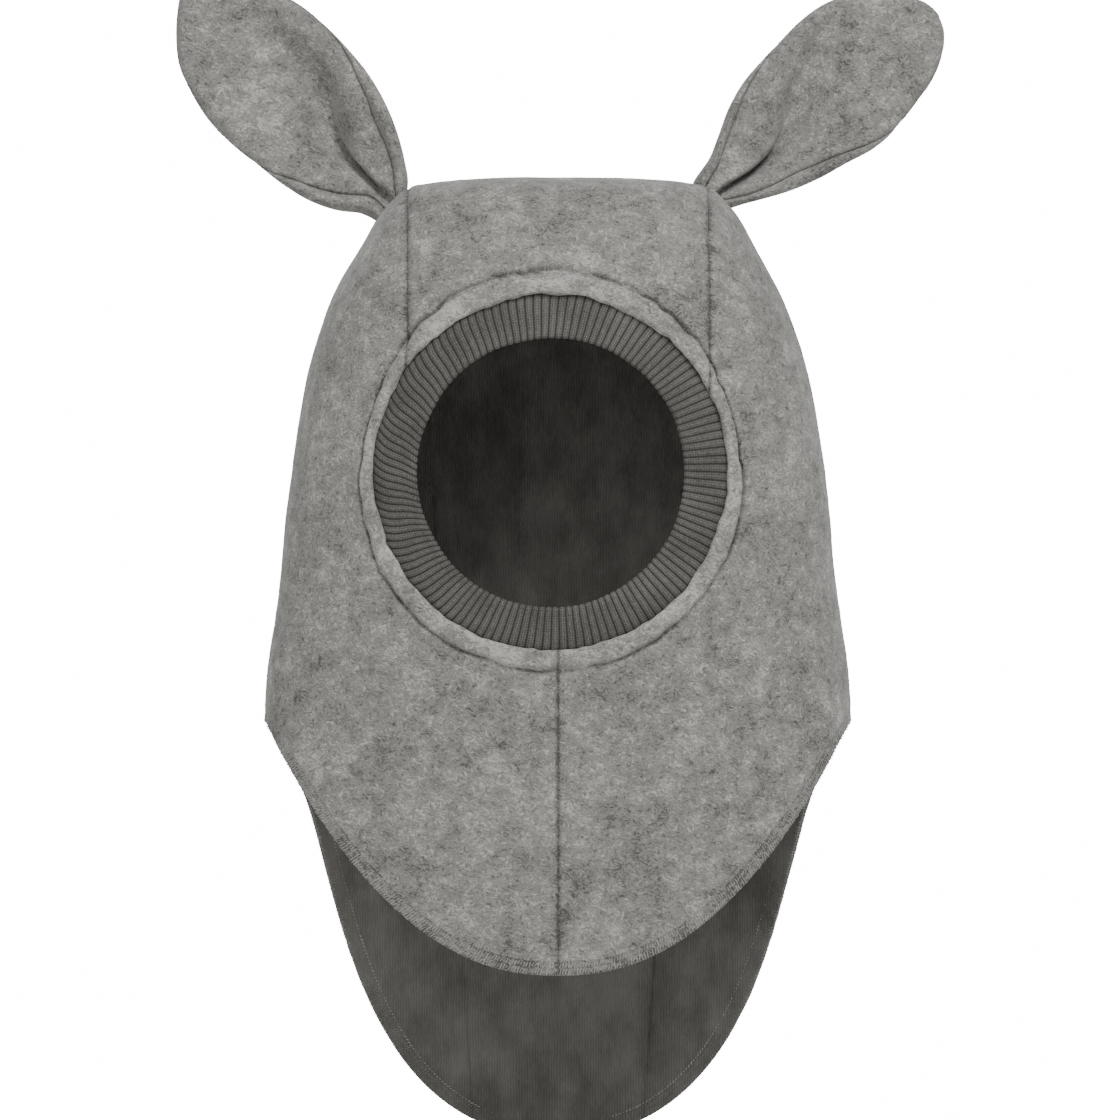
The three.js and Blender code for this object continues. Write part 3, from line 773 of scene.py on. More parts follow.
class Nodes:
    """Places and links the nodes of one tree."""

    def __init__(self, tree: Tree) -> None:
        """Keeps the tree."""
        self.tree = tree

    def add(self, kind: str, inputs: dict | None = None, **settings: object) -> bpy.types.Node:
        """Adds a node.

        Args:
            kind: the node's type.
            inputs: what goes into its sockets, by name or number: a value, or another node's output.
            settings: the node's own settings.

        Returns:
            The node.
        """
        node = self.tree.nodes.new(kind)
        for name, value in settings.items():
            setattr(node, name, value)
        self.fill(node, inputs or {})
        return node

    def fill(self, node: bpy.types.Node, inputs: dict) -> None:
        """Links or sets a node's sockets."""
        for socket, value in inputs.items():
            if isinstance(value, Socket):
                self.tree.links.new(value, node.inputs[socket])
            else:
                node.inputs[socket].default_value = value

    def math(self, operation: str, *values: object, kind: str = "ShaderNodeMath") -> Socket:
        """The result of a sum on numbers, or on vectors with the vector kind."""
        return self.add(kind, dict(enumerate(values)), operation=operation).outputs[0]

    def ramp(self, value: Socket, low: object, high: object) -> Socket:
        """A smooth ramp from 0 at low to 1 at high."""
        ends = {"Value": value, "From Min": low, "From Max": high}
        return self.add("ShaderNodeMapRange", ends, interpolation_type="SMOOTHSTEP").outputs["Result"]

    def times(self, *values: object) -> Socket:
        """One number times another."""
        return self.math("MULTIPLY", *values)

    def plus(self, *values: object) -> Socket:
        """One number plus another."""
        return self.math("ADD", *values)

    def minus(self, *values: object) -> Socket:
        """One number minus another."""
        return self.math("SUBTRACT", *values)

    def times_plus(self, *values: object) -> Socket:
        """One number times another, plus a third."""
        return self.math("MULTIPLY_ADD", *values)

    def vector_math(self, operation: str, *values: object) -> Socket:
        """The result of a sum on vectors."""
        return self.math(operation, *values, kind="ShaderNodeVectorMath")

    def part(self, vector: Socket, axis: str) -> Socket:
        """One part of a vector, X, Y or Z."""
        return self.add("ShaderNodeSeparateXYZ", {0: vector}).outputs[axis]

    def end(self, kind: str, shader: Socket) -> None:
        """Ends a material's or world's tree with a shader."""
        self.add(kind, {"Surface": shader})

    def mix(self, share: object, first: object, second: object) -> Socket:
        """A blend of two colours."""
        node = self.add("ShaderNodeMix", data_type="RGBA")
        colour = {s.identifier: s for s in node.inputs}
        for socket, value in (("Factor_Float", share), ("A_Color", first), ("B_Color", second)):
            if isinstance(value, Socket):
                self.tree.links.new(value, colour[socket])
            else:
                colour[socket].default_value = value
        return next(s for s in node.outputs if s.identifier == "Result_Color")

    def noise(self, vector: Socket, scale: object, detail: float = 2.0, **inputs: float) -> Socket:
        """Soft noise from 0 to 1."""
        values = {"Vector": vector, "Scale": scale, "Detail": detail, **inputs}
        return self.add("ShaderNodeTexNoise", values).outputs["Fac"]

    def stretched(self, vector: Socket, scale: Sequence[float], turn: Sequence[float] = (0, 0, 0)) -> Socket:
        """Coordinates turned and then stretched."""
        turned = self.add("ShaderNodeVectorRotate", {"Vector": vector, "Rotation": turn}, rotation_type="EULER_XYZ")
        return self.vector_math("MULTIPLY", turned.outputs[0], tuple(scale))


def fresh_nodes(owner: bpy.types.Material | bpy.types.World) -> Nodes:
    """The emptied node tree of a material or a world."""
    owner.use_nodes = True
    owner.node_tree.nodes.clear()
    return Nodes(owner.node_tree)


class FinishGroup:
    """A shader node group with named inputs and outputs."""

    def __init__(self, name: str, inputs: dict[str, object]) -> None:
        """Makes the empty group, which puts out a colour and a height.

        Args:
            name: the group's name.
            inputs: each input's name and its value to start with; a 4-tuple is a colour, None a vector.
        """
        self.tree = bpy.data.node_groups.new(name, "ShaderNodeTree")
        for label, value in inputs.items():
            kind = {type(None): "NodeSocketVector", tuple: "NodeSocketColor"}.get(type(value), "NodeSocketFloat")
            socket = self.tree.interface.new_socket(label, in_out="INPUT", socket_type=kind)
            if value is not None:
                socket.default_value = value
        for label, kind in (("Color", "NodeSocketColor"), ("Height", "NodeSocketFloat")):
            self.tree.interface.new_socket(label, in_out="OUTPUT", socket_type=kind)
        self.nodes = Nodes(self.tree)
        self.given = self.nodes.add("NodeGroupInput").outputs

    def give(self, colour: Socket, height: Socket) -> Tree:
        """Sends the colour and the height out of the group."""
        self.nodes.add("NodeGroupOutput", {"Color": colour, "Height": height})
        return self.tree


def heather_group() -> Tree:
    """Wool milled from dark, middling and light fibres: soft patches, fibre streaks and a felted relief, plus painted
    light and a darker hem band from a vertex input.
    """
    group = FinishGroup(
        "Heather wool",
        {
            "Place": None,
            # painted highlight on the welt, painted shade in seams and groove, and a darker hem band
            "Painted light and hem tone": None,
            "Dark": linear(72, 71, 68),
            "Middle": linear(122, 121, 117),
            "Light": linear(172, 171, 166),
            "Patch scale": 190.0,
            "Fibre scale": 1350.0,
            "Contrast": 0.92,
        },
    )
    n, given = group.nodes, group.given
    place = given["Place"]
    bend = n.add("ShaderNodeTexNoise", {"Vector": place, "Scale": 260.0, "Detail": 2.0}).outputs["Color"]
    shift = n.vector_math("SUBTRACT", bend, (0.5, 0.5, 0.5))
    bent = n.vector_math("MULTIPLY_ADD", shift, (5.5 * MM, 5.5 * MM, 5.5 * MM), place)
    patches = n.noise(n.stretched(bent, (0.72, 1, 1)), given["Patch scale"], 4.0, Roughness=0.62)
    clouds = n.noise(place, 46.0, 3.0)
    level = n.noise(n.stretched(bent, (0.34, 1, 1.2)), given["Fibre scale"], 3.0, Roughness=0.65)
    slant = n.noise(n.stretched(bent, (1.3, 1, 0.4), (0, 0.85, 0)), given["Fibre scale"], 2.0)
    other = n.noise(n.stretched(bent, (0.45, 1, 1.4), (0, -0.5, 0)), given["Fibre scale"], 2.0)
    fibre = n.times_plus(level, 0.5, n.times(n.plus(slant, other), 0.25))
    fleck = n.ramp(n.noise(n.stretched(bent, (0.6, 1, 1)), 620.0, 1.0), 0.64, 0.76)
    tone = n.times_plus(n.minus(patches, 0.5), 1.7, n.minus(clouds, 0.5))
    tone = n.times_plus(n.minus(fibre, 0.5), 4.2, tone)
    tone = n.times_plus(tone, given["Contrast"], 0.5)
    # painted light: the vertex input adds a painted highlight on the welt, painted shade in seams and groove, and a
    # darker hem band
    tone = n.times_plus(n.part(given["Painted light and hem tone"], "X"), 0.55, tone)
    light_share = n.times(n.ramp(tone, 0.5, 1.15), 0.95)
    dark_share = n.math("MAXIMUM", n.ramp(tone, 0.5, -0.15), n.times(fleck, 0.6))
    colour = n.mix(light_share, given["Middle"], given["Light"])
    height = n.times_plus(fibre, 1.3, n.times(patches, 0.8))
    return group.give(n.mix(dark_share, colour, given["Dark"]), height)


def pile_group() -> Tree:
    """The lining's short pile: fine knit lines down the cloth, and soft brushed marks."""
    group = FinishGroup(
        "Brushed pile",
        {"Along": None, "Place": None, "Shade": linear(79, 77, 73), "Glow": linear(111, 109, 105), "Lines": 900.0},
    )
    n, given = group.nodes, group.given
    waver = n.noise(given["Place"], 90.0, 2.0)
    across = n.times_plus(n.minus(waver, 0.5), 1.2 * MM, n.part(given["Along"], "X"))
    line = n.math("SINE", n.times(across, n.times(given["Lines"], 2 * math.pi)))
    lines = n.times_plus(line, 0.5, 0.5)
    broken = n.noise(n.stretched(given["Along"], (3.0, 0.35, 1)), 420.0, 3.0)
    brushed = n.noise(n.stretched(given["Place"], (1, 1, 0.55)), 75.0, 4.0, Roughness=0.6)
    clouds = n.noise(given["Place"], 26.0, 2.0)
    fluff = n.noise(given["Place"], 1500.0, 2.0)
    tone = n.plus(n.times(lines, n.times(broken, 0.42)), n.times(fluff, 0.3))
    soft = n.times_plus(n.minus(brushed, 0.5), 1.5, n.times(clouds, 0.55))
    colour = n.mix(n.ramp(n.plus(tone, soft), 0.05, 1.05), given["Shade"], given["Glow"])
    return group.give(colour, n.plus(n.times(lines, 0.55), n.times(fluff, 0.6)))


def rib_group() -> Tree:
    """Rib knit: columns of small stitches along each wale, with painted shade in the furrows between wales and between
    stitch columns, and a painted highlight on the loop crests.
    """
    group = FinishGroup(
        "Rib knit",
        {"Wale": None, "Place": None, "Face": linear(120, 119, 114), "Painted furrow shade": linear(46, 45, 42), "Stitches": 1000.0},
    )
    n, given = group.nodes, group.given
    across = n.math("FRACT", n.part(given["Wale"], "X"))
    side = n.math("ABSOLUTE", n.times_plus(across, 2.0, -1.0))
    # painted shade in the furrows between wales
    painted_furrow_shade = n.ramp(side, 0.52, 0.98)
    column = n.math("FRACT", n.times(across, 3.0))
    lean = n.math("ABSOLUTE", n.minus(column, 0.5))
    row = n.times_plus(lean, 0.9, n.times(n.part(given["Wale"], "Y"), given["Stitches"]))
    loop = n.times_plus(n.math("SINE", n.times(row, 2 * math.pi)), 0.5, 0.5)
    # the gaps between stitch columns: painted darker as shade, and sunk in the relief
    between = n.ramp(n.math("ABSOLUTE", n.times_plus(column, 2.0, -1.0)), 0.6, 1.0)
    fuzz = n.noise(given["Place"], 1700.0, 2.0)
    clouds = n.noise(given["Place"], 60.0, 2.0)
    # painted light: lighter on the loop crests, darker between stitch columns; fuzz and clouds are random tone
    light = n.plus(n.times(loop, 0.13), n.times(fuzz, 0.55))
    light = n.minus(n.plus(light, n.times(clouds, 0.35)), n.times(between, 0.2))
    dull = n.mix(n.ramp(light, 0.95, 0.1), given["Face"], given["Painted furrow shade"])
    relief = n.minus(n.times(loop, 0.4), n.times(between, 0.5))
    # painted shade: the furrows between wales are mixed towards the dark colour
    colour = n.mix(n.times(painted_furrow_shade, 0.85), dull, given["Painted furrow shade"])
    return group.give(colour, n.plus(relief, n.times(fuzz, 0.4)))


@dataclass(frozen=True)
class ClothFinish:
    """A cloth's finish: the group that draws it and how it takes light."""

    name: str
    group: Tree
    sheen: float
    relief: float
    roughness: float = 0.95
    values: dict[str, object] = field(default_factory=dict)
    attributes: tuple[tuple[str, str], ...] = ()

    def material(self) -> bpy.types.Material:
        """Builds the material."""
        made = bpy.data.materials.new(self.name)
        n = fresh_nodes(made)
        given = {"Place": n.add("ShaderNodeTexCoord").outputs["Object"], **self.values}
        for socket, attribute in self.attributes:
            given[socket] = n.add("ShaderNodeAttribute", attribute_name=attribute).outputs["Vector"]
        pattern = n.add("ShaderNodeGroup", node_tree=self.group)
        n.fill(pattern, given)
        relief = {"Height": pattern.outputs["Height"], "Strength": 1.0, "Distance": self.relief}
        bumped = n.add("ShaderNodeBump", relief)
        shader = n.add(
            "ShaderNodeBsdfPrincipled",
            {
                "Base Color": pattern.outputs["Color"],
                "Normal": bumped.outputs[0],
                "Roughness": self.roughness,
                "Specular IOR Level": 0.15,
                "Sheen Weight": self.sheen,
                "Sheen Roughness": 0.5,
                "Sheen Tint": (1.0, 1.0, 1.0, 1.0),
            },
        )
        n.end("ShaderNodeOutputMaterial", shader.outputs[0])
        return made


class Finishes:
    """The materials of the balaclava."""

    def __init__(self) -> None:
        """Builds every material once."""
        heather, pile, rib = heather_group(), pile_group(), rib_group()
        # the wool reads its painted highlight, painted shade and darker hem band from a vertex attribute
        painted_light_and_hem_tone, cloth, wale = (("Painted light and hem tone", "painted_light_and_hem_tone"),), (("Along", "cloth"),), (("Wale", "wale"),)
        self.wool = ClothFinish("Heather boiled wool", heather, sheen=0.25, relief=0.34 * MM, attributes=painted_light_and_hem_tone).material()
        self.velour = ClothFinish("Velour lining", pile, sheen=0.2, relief=0.16 * MM, attributes=cloth).material()
        self.rib = ClothFinish("Rib knit band", rib, sheen=0.1, relief=0.16 * MM, attributes=wale).material()
        self.thread = self.sewing_thread("Wool sewing thread", heather, 98)
        self.dark_thread = self.sewing_thread("Lining sewing thread", heather, 74)
        self.yarn = self.sewing_thread("Overlock yarn", heather, 150)
        # painted shade: a darker copy of the overlock yarn for the hem stitches inside the hood
        self.shaded_lining_yarn = self.sewing_thread("Overlock yarn of the lining, painted darker as shade", heather, 112)

    def sewing_thread(self, name: str, heather: Tree, level: int) -> bpy.types.Material:
        """A thread of one grey, a little uneven."""
        greys = {"Light": level + 26, "Middle": level, "Dark": level - 26}
        colours = {label: linear(grey, grey - 1, grey - 4) for label, grey in greys.items()}
        values = {**colours, "Fibre scale": 1600.0, "Contrast": 0.6}
        return ClothFinish(name, heather, sheen=0.1, relief=0.1 * MM, roughness=0.8, values=values).material()


# The hood's cloth


@dataclass(frozen=True)
class Dent:
    """A soft dent or swell on the front of the hood: its place, heading, size and height."""

    x: float
    drop: float
    heading: float
    length: float
    width: float
    height: float

    def at(self, points: Array, wall: float) -> Array:
        """The dent's height at each point."""
        dx, up = points[:, 0] - self.x, self.drop - (wall - points[:, 2])
        angle = math.radians(self.heading)
        along = dx * math.cos(angle) + up * math.sin(angle)
        across = up * math.cos(angle) - dx * math.sin(angle)
        shape = np.exp(-((along / self.length) ** 2) - (across / self.width) ** 2)
        return np.where(points[:, 1] < 0, self.height * shape, 0.0)


@dataclass
class OuterHood:
    """The boiled-wool outside of the hood, in three panels."""

    form: HoodForm
    finishes: Finishes
    columns: int = 520
    rows: int = 128
    welt_width: float = 6.6 * MM
    welt_height: float = 1.5 * MM
    roll_radius: float = 1.85 * MM
    groove_away: float = 8.0 * MM
    groove_depth: float = 1.1 * MM
    seam_depth: float = 0.9 * MM
    seam_width: float = 1.1 * MM
    seam_gap: float = 0.1 * MM
    hem_radius: float = 1.5 * MM
    hem_width: float = 5.5 * MM
    dents: tuple[Dent, ...] = (
        Dent(66 * MM, 79 * MM, 62, 7 * MM, 2.6 * MM, -2.6 * MM),
        Dent(60 * MM, 74 * MM, 62, 8 * MM, 3.4 * MM, 1.1 * MM),
        Dent(-62 * MM, 66 * MM, -60, 20 * MM, 7 * MM, -0.8 * MM),
        Dent(0 * MM, 300 * MM, 90, 7 * MM, 2.2 * MM, -1.0 * MM),
        Dent(92 * MM, 160 * MM, 96, 46 * MM, 14 * MM, -1.1 * MM),
        Dent(-88 * MM, 170 * MM, 84, 46 * MM, 16 * MM, -1.0 * MM),
        Dent(38 * MM, 250 * MM, 55, 30 * MM, 11 * MM, 0.9 * MM),
        Dent(-36 * MM, 246 * MM, 125, 30 * MM, 11 * MM, 0.8 * MM),
    )

    def edge(self) -> EdgeProfile:
        """The rolled edge of the face opening, then rows half a millimetre apart."""
        beta = np.radians(np.linspace(-70, 90, 9))
        middle = self.roll_radius - 0.4 * MM
        away = middle - self.roll_radius * np.cos(beta)
        height = self.welt_height - self.roll_radius + self.roll_radius * np.sin(beta)
        fine = np.arange(6.9, 9.6, 0.2)
        rows = np.array([2, 2.7, 3.4, 4.1, 4.8, 5.4, 6, 6.5, *fine, 10, 10.6, 11.3, 12, 13, 14, 15]) * MM
        inside = np.linspace(0.85 * MM, middle, len(beta))
        parts = ((away, rows), (height, 0 * rows), (inside, rows))
        return EdgeProfile(*(np.concatenate(part) for part in parts))

    def sheet(self) -> Sheet:
        """The whole outside, before its seams are cut."""
        hem_rows = np.array([7, 6.2, 5.4, 4.6, 3.8, 3, 2.3, 1.7, 1.2, 0.8, 0.45, 0.18, 0]) * MM
        return SheetGrid(self.form, self.columns, self.rows, self.edge(), hem_rows).build()

    def across_welt(self, sheet: Sheet) -> tuple[Array, Array]:
        """How far across the turned edge each point lies, and how the edge wavers there."""
        points, away = sheet.points, sheet.from_face
        waver = SoftNoise(11).at(points, 7 * MM) * 0.62 + SoftNoise(12).at(points, 2.8 * MM) * 0.3
        angle = np.arctan2(self.form.face_drop - (self.form.wall - points[:, 2]), points[:, 0] - self.form.face_side)
        stretch = 1 + 0.2 * bump(math.pi / 2, 0.8, angle)
        return away / stretch + waver * 1.5 * MM * smoothstep(2 * MM, 5 * MM, away), waver

    def painted_light_and_hem_tone(self, sheet: Sheet) -> Array:
        """Painted light on the cloth: a painted highlight on the raised welt, painted shade down in its seams and its
        topstitched groove, and a darker band along the hem.
        """
        scaled, _ = self.across_welt(sheet)
        # painted highlight: the raised welt is painted lighter
        raised = smoothstep(self.groove_away, self.groove_away - 1.2 * MM, scaled)
        # painted shade in the topstitched groove, patchy along it
        patchy = np.clip(0.5 + 0.8 * SoftNoise(16).at(sheet.points, 10 * MM), 0, 1)
        painted_groove_shade = patchy * bump(self.groove_away, 0.8 * MM, scaled)
        # painted shade down in the seam valleys
        seam = bump(0, 0.7 * MM, self.form.seam_distance(sheet.points))
        # darker along the hem band
        darker_hem_band = smoothstep(self.hem_width + 0.8 * MM, self.hem_width - 0.6 * MM, sheet.from_hem)
        return 0.34 * raised - 1.1 * painted_groove_shade - 0.9 * seam - 0.55 * darker_hem_band

    def welt(self, sheet: Sheet) -> Array:
        """The height of the turned edge and its topstitched groove."""
        points, away = sheet.points, sheet.from_face
        scaled, waver = self.across_welt(sheet)
        plateau = smoothstep(self.groove_away - 0.2 * MM, self.welt_width - 1 * MM, scaled)
        plateau = self.welt_height * (1 + 0.24 * waver) * plateau
        swell = 0.4 * MM * smoothstep(self.groove_away, self.groove_away + 1.6 * MM, scaled)
        swell *= smoothstep(15 * MM, self.groove_away + 2.5 * MM, scaled)
        patchy = 0.7 + 0.6 * SoftNoise(13).at(points, 11 * MM)
        groove = -self.groove_depth * patchy * bump(self.groove_away, 0.75 * MM, scaled)
        on_front = points[:, 1] < 0
        rolled = sheet.height + 0.24 * waver * self.welt_height
        shaped = np.where(away < self.roll_radius - 0.4 * MM, rolled, plateau + swell + groove)
        return np.where(on_front & (away < 16 * MM), shaped, 0.0)

    def seam(self, sheet: Sheet) -> Array:
        """The valley along each seam, with the turned allowances swelling beside it."""
        gap = self.form.seam_distance(sheet.points)
        gap = gap / np.sqrt(np.maximum(0.15, 1 - sheet.normals[:, 0] ** 2))
        chin = (sheet.points[:, 1] < 0) & (self.form.wall - sheet.points[:, 2] > self.form.face_drop)
        depth = np.where(chin, self.seam_depth, 0.62 * self.seam_depth)
        return 0.22 * MM * bump(3.2 * MM, 2.0 * MM, gap) - depth * bump(0, self.seam_width, gap)

    def hem(self, sheet: Sheet) -> Array:
        """The rounded, slightly pressed edge of the cloth at the hem."""
        away = sheet.from_hem
        pressed = 0.3 * MM * smoothstep(self.hem_width + 1 * MM, self.hem_width - 1 * MM, away)
        return -1.2 * MM * (1 - rounded(away, self.hem_radius)) - pressed

    def relief(self, sheet: Sheet) -> Array:
        """Soft swells of the worn cloth, and the lumps of its felted face."""
        points = sheet.points
        swells = 0.55 * SoftNoise(3).at(points, 42 * MM) + 0.3 * SoftNoise(4).at(points, 19 * MM)
        lumps = 0.09 * SoftNoise(5).at(points, 5 * MM) + 0.07 * SoftNoise(6).at(points, 2.6 * MM)
        calm = smoothstep(2 * MM, 14 * MM, sheet.from_face)
        dents = sum(dent.at(points, self.form.wall) for dent in self.dents)
        return swells * MM * calm + lumps * MM + dents * smoothstep(-1 * MM, 1 * MM, sheet.from_face)

    def flare(self, sheet: Sheet) -> Array:
        """How the loose hem wavers in and out."""
        near = smoothstep(45 * MM, 0, sheet.from_hem)
        return near * 0.8 * MM * SoftNoise(8).at(sheet.points * np.array([1, 0.6, 0.4]), 34 * MM)

    def shoulder(self, sheet: Sheet) -> Array:
        """The swell of the cloth over the foot of each ear."""
        x, y, drop = np.abs(sheet.points[:, 0]), sheet.points[:, 1], self.form.wall - sheet.points[:, 2]
        swell = bump(15 * MM, 9 * MM, drop) * bump(0, 20 * MM, y)
        return 2.6 * MM * swell * smoothstep(52 * MM, 62 * MM, x)

    def uneven_edge(self, sheet: Sheet) -> Array:
        """How the rolled edge of the face opening wavers towards and away from the middle of the face."""
        form, points = self.form, sheet.points
        middle = np.array([form.face_side, 0, form.wall - form.face_drop])
        outward = unit((points - middle) * np.array([1, 0, 1]))
        waver = 0.8 * SoftNoise(14).at(points, 9 * MM) + 0.45 * SoftNoise(15).at(points, 3.4 * MM)
        near = smoothstep(7 * MM, 1.5 * MM, sheet.from_face)
        return outward * (waver * MM * near)[:, None]

    def heights(self, sheet: Sheet) -> Array:
        """How far the finished outside stands off the plain form."""
        shaped = self.welt(sheet) + self.seam(sheet) + self.hem(sheet) + self.relief(sheet)
        return shaped + self.flare(sheet) + self.shoulder(sheet)

    def laid(self, points: Array, normals: Array, from_hem: float = 1.0, sunk: float = 0.0) -> Array:
        """Points of the plain form moved onto the finished outside, and a little into it."""
        bare = Sheet.bare(points, normals, self.form.face_distance(points), from_hem)
        return points + normals * (self.heights(bare) - sunk)[:, None]

    def build(self) -> None:
        """Builds the three panels as closed pieces of cloth."""
        for panel, sheet in SeamCutter(self.form).cut(self.sheet()).items():
            shared = self.flare(sheet)
            height = self.heights(sheet)
            outer = sheet.points + sheet.normals * height[:, None] + self.uneven_edge(sheet)
            inner = sheet.inside + sheet.normals * (shared - self.form.wool)[:, None]
            toward = np.sign(sheet.points[:, 0]) * (-1 if panel is Panel.CENTRE else 1)
            pull = self.seam_gap * bump(0, 1.2 * MM, self.form.seam_distance(sheet.points))
            for side in (outer, inner):
                side[:, 0] += toward * pull
            piece = closed_shell(f"wool_{panel.value}_panel", outer, inner, sheet.faces)
            # painted highlight on the welt, painted shade in seams and groove, darker hem band, stored per vertex
            painted_light_and_hem_tone = np.tile(self.painted_light_and_hem_tone(sheet), 2)
            set_attribute(piece, "painted_light_and_hem_tone", np.stack([painted_light_and_hem_tone, 0 * painted_light_and_hem_tone, 0 * painted_light_and_hem_tone], -1))
            piece.data.materials.append(self.finishes.wool)
            hand_in(piece, "hood", "wool", f"outer_{panel.value}_panel")
            sheet.area()


@dataclass
class Lining:
    """The velour lining, in three panels under the wool ones."""

    outer: OuterHood
    columns: int = 400
    rows: int = 96
    ply_gap: float = 0.4 * MM
    pile: float = 0.1 * MM

    def build(self) -> None:
        """Builds the three panels as closed pieces of cloth."""
        form = self.outer.form
        near = np.array([0.2, 2, 4, 6.5, 9.5, 13]) * MM
        hem_rows = np.array([8, 6.6, 5.3, 4.2, 3.2, 2.4, 1.6, 1, 0.5, 0]) * MM
        whole = SheetGrid(form, self.columns, self.rows, EdgeProfile(near, 0 * near, near), hem_rows).build()
        for panel, sheet in SeamCutter(form).cut(whole).items():
            points, away = sheet.points, sheet.from_hem
            shared = self.outer.flare(sheet)
            gap = form.seam_distance(points) / np.sqrt(np.maximum(0.15, 1 - sheet.normals[:, 0] ** 2))
            swell = 0.5 * SoftNoise(21).at(points, 30 * MM) + self.pile / MM * SoftNoise(22).at(points, 3 * MM)
            rise = swell * MM * smoothstep(0, 10 * MM, away) + 0.5 * MM * bump(0, 1.1 * MM, gap)
            rise = rise + 0.7 * MM * (1 - rounded(away, 1.4 * MM))
            outer = points - sheet.normals * (form.wool + self.ply_gap - shared)[:, None]
            inner = points - sheet.normals * (form.wall - shared - np.maximum(rise, -0.9 * MM))[:, None]
            piece = closed_shell(f"velour_{panel.value}_panel", outer, inner, sheet.faces)
            set_attribute(piece, "cloth", form.along_cloth(np.vstack([points, points])))
            piece.data.materials.append(self.outer.finishes.velour)
            hand_in(piece, "hood", "velour_lining", f"lining_{panel.value}_panel")
            sheet.area()


# The ribbed band round the face


class GeometryTree:
    """A Geometry Nodes tree with named inputs, run on one object."""

    def __init__(self, name: str, inputs: dict[str, object]) -> None:
        """Makes the tree.

        Args:
            name: the tree's name.
            inputs: each input's name and its value: a number, an int or a material.
        """
        self.tree = bpy.data.node_groups.new(name, "GeometryNodeTree")
        self.inputs = inputs
        self.sockets = {}
        face = self.tree.interface
        face.new_socket("Geometry", in_out="INPUT", socket_type="NodeSocketGeometry")
        for label, value in inputs.items():
            kinds = {bpy.types.Material: "NodeSocketMaterial", int: "NodeSocketInt"}
            kind = kinds.get(type(value), "NodeSocketFloat")
            self.sockets[label] = face.new_socket(label, in_out="INPUT", socket_type=kind).identifier
        face.new_socket("Geometry", in_out="OUTPUT", socket_type="NodeSocketGeometry")
        self.nodes = Nodes(self.tree)
        self.given = self.nodes.add("NodeGroupInput").outputs

    def attribute(self, name: str, kind: str = "FLOAT") -> Socket:
        """A named attribute of the geometry."""
        return self.nodes.add("GeometryNodeInputNamedAttribute", {"Name": name}, data_type=kind).outputs[0]

    def finish(self, geometry: Socket) -> None:
        """Ends the tree with its instances realised and its material set."""
        realised = self.nodes.add("GeometryNodeRealizeInstances", {0: geometry})
        smooth = self.nodes.add("GeometryNodeSetShadeSmooth", {"Geometry": realised.outputs[0]})
        dressing = {"Geometry": smooth.outputs[0], "Material": self.given["Material"]}
        dressed = self.nodes.add("GeometryNodeSetMaterial", dressing)
        self.nodes.add("NodeGroupOutput", {"Geometry": dressed.outputs[0]})

    def run(self, source: Piece, name: str) -> Piece:
        """Runs the tree on an object and keeps the result as a plain mesh.

        Args:
            source: the object that goes in; it takes the new mesh and name, and its old mesh is removed.
            name: the new piece's name.

        Returns:
            The new piece.
        """
        modifier = source.modifiers.new("shape", "NODES")
        modifier.node_group = self.tree
        for label, value in self.inputs.items():
            modifier[self.sockets[label]] = value
        graph = bpy.context.evaluated_depsgraph_get()
        mesh = bpy.data.meshes.new_from_object(source.evaluated_get(graph), depsgraph=graph)
        source.modifiers.remove(modifier)
        old = source.data
        source.data = mesh
        source.name = mesh.name = name
        bpy.data.meshes.remove(old)
        bpy.data.node_groups.remove(self.tree)
        return source


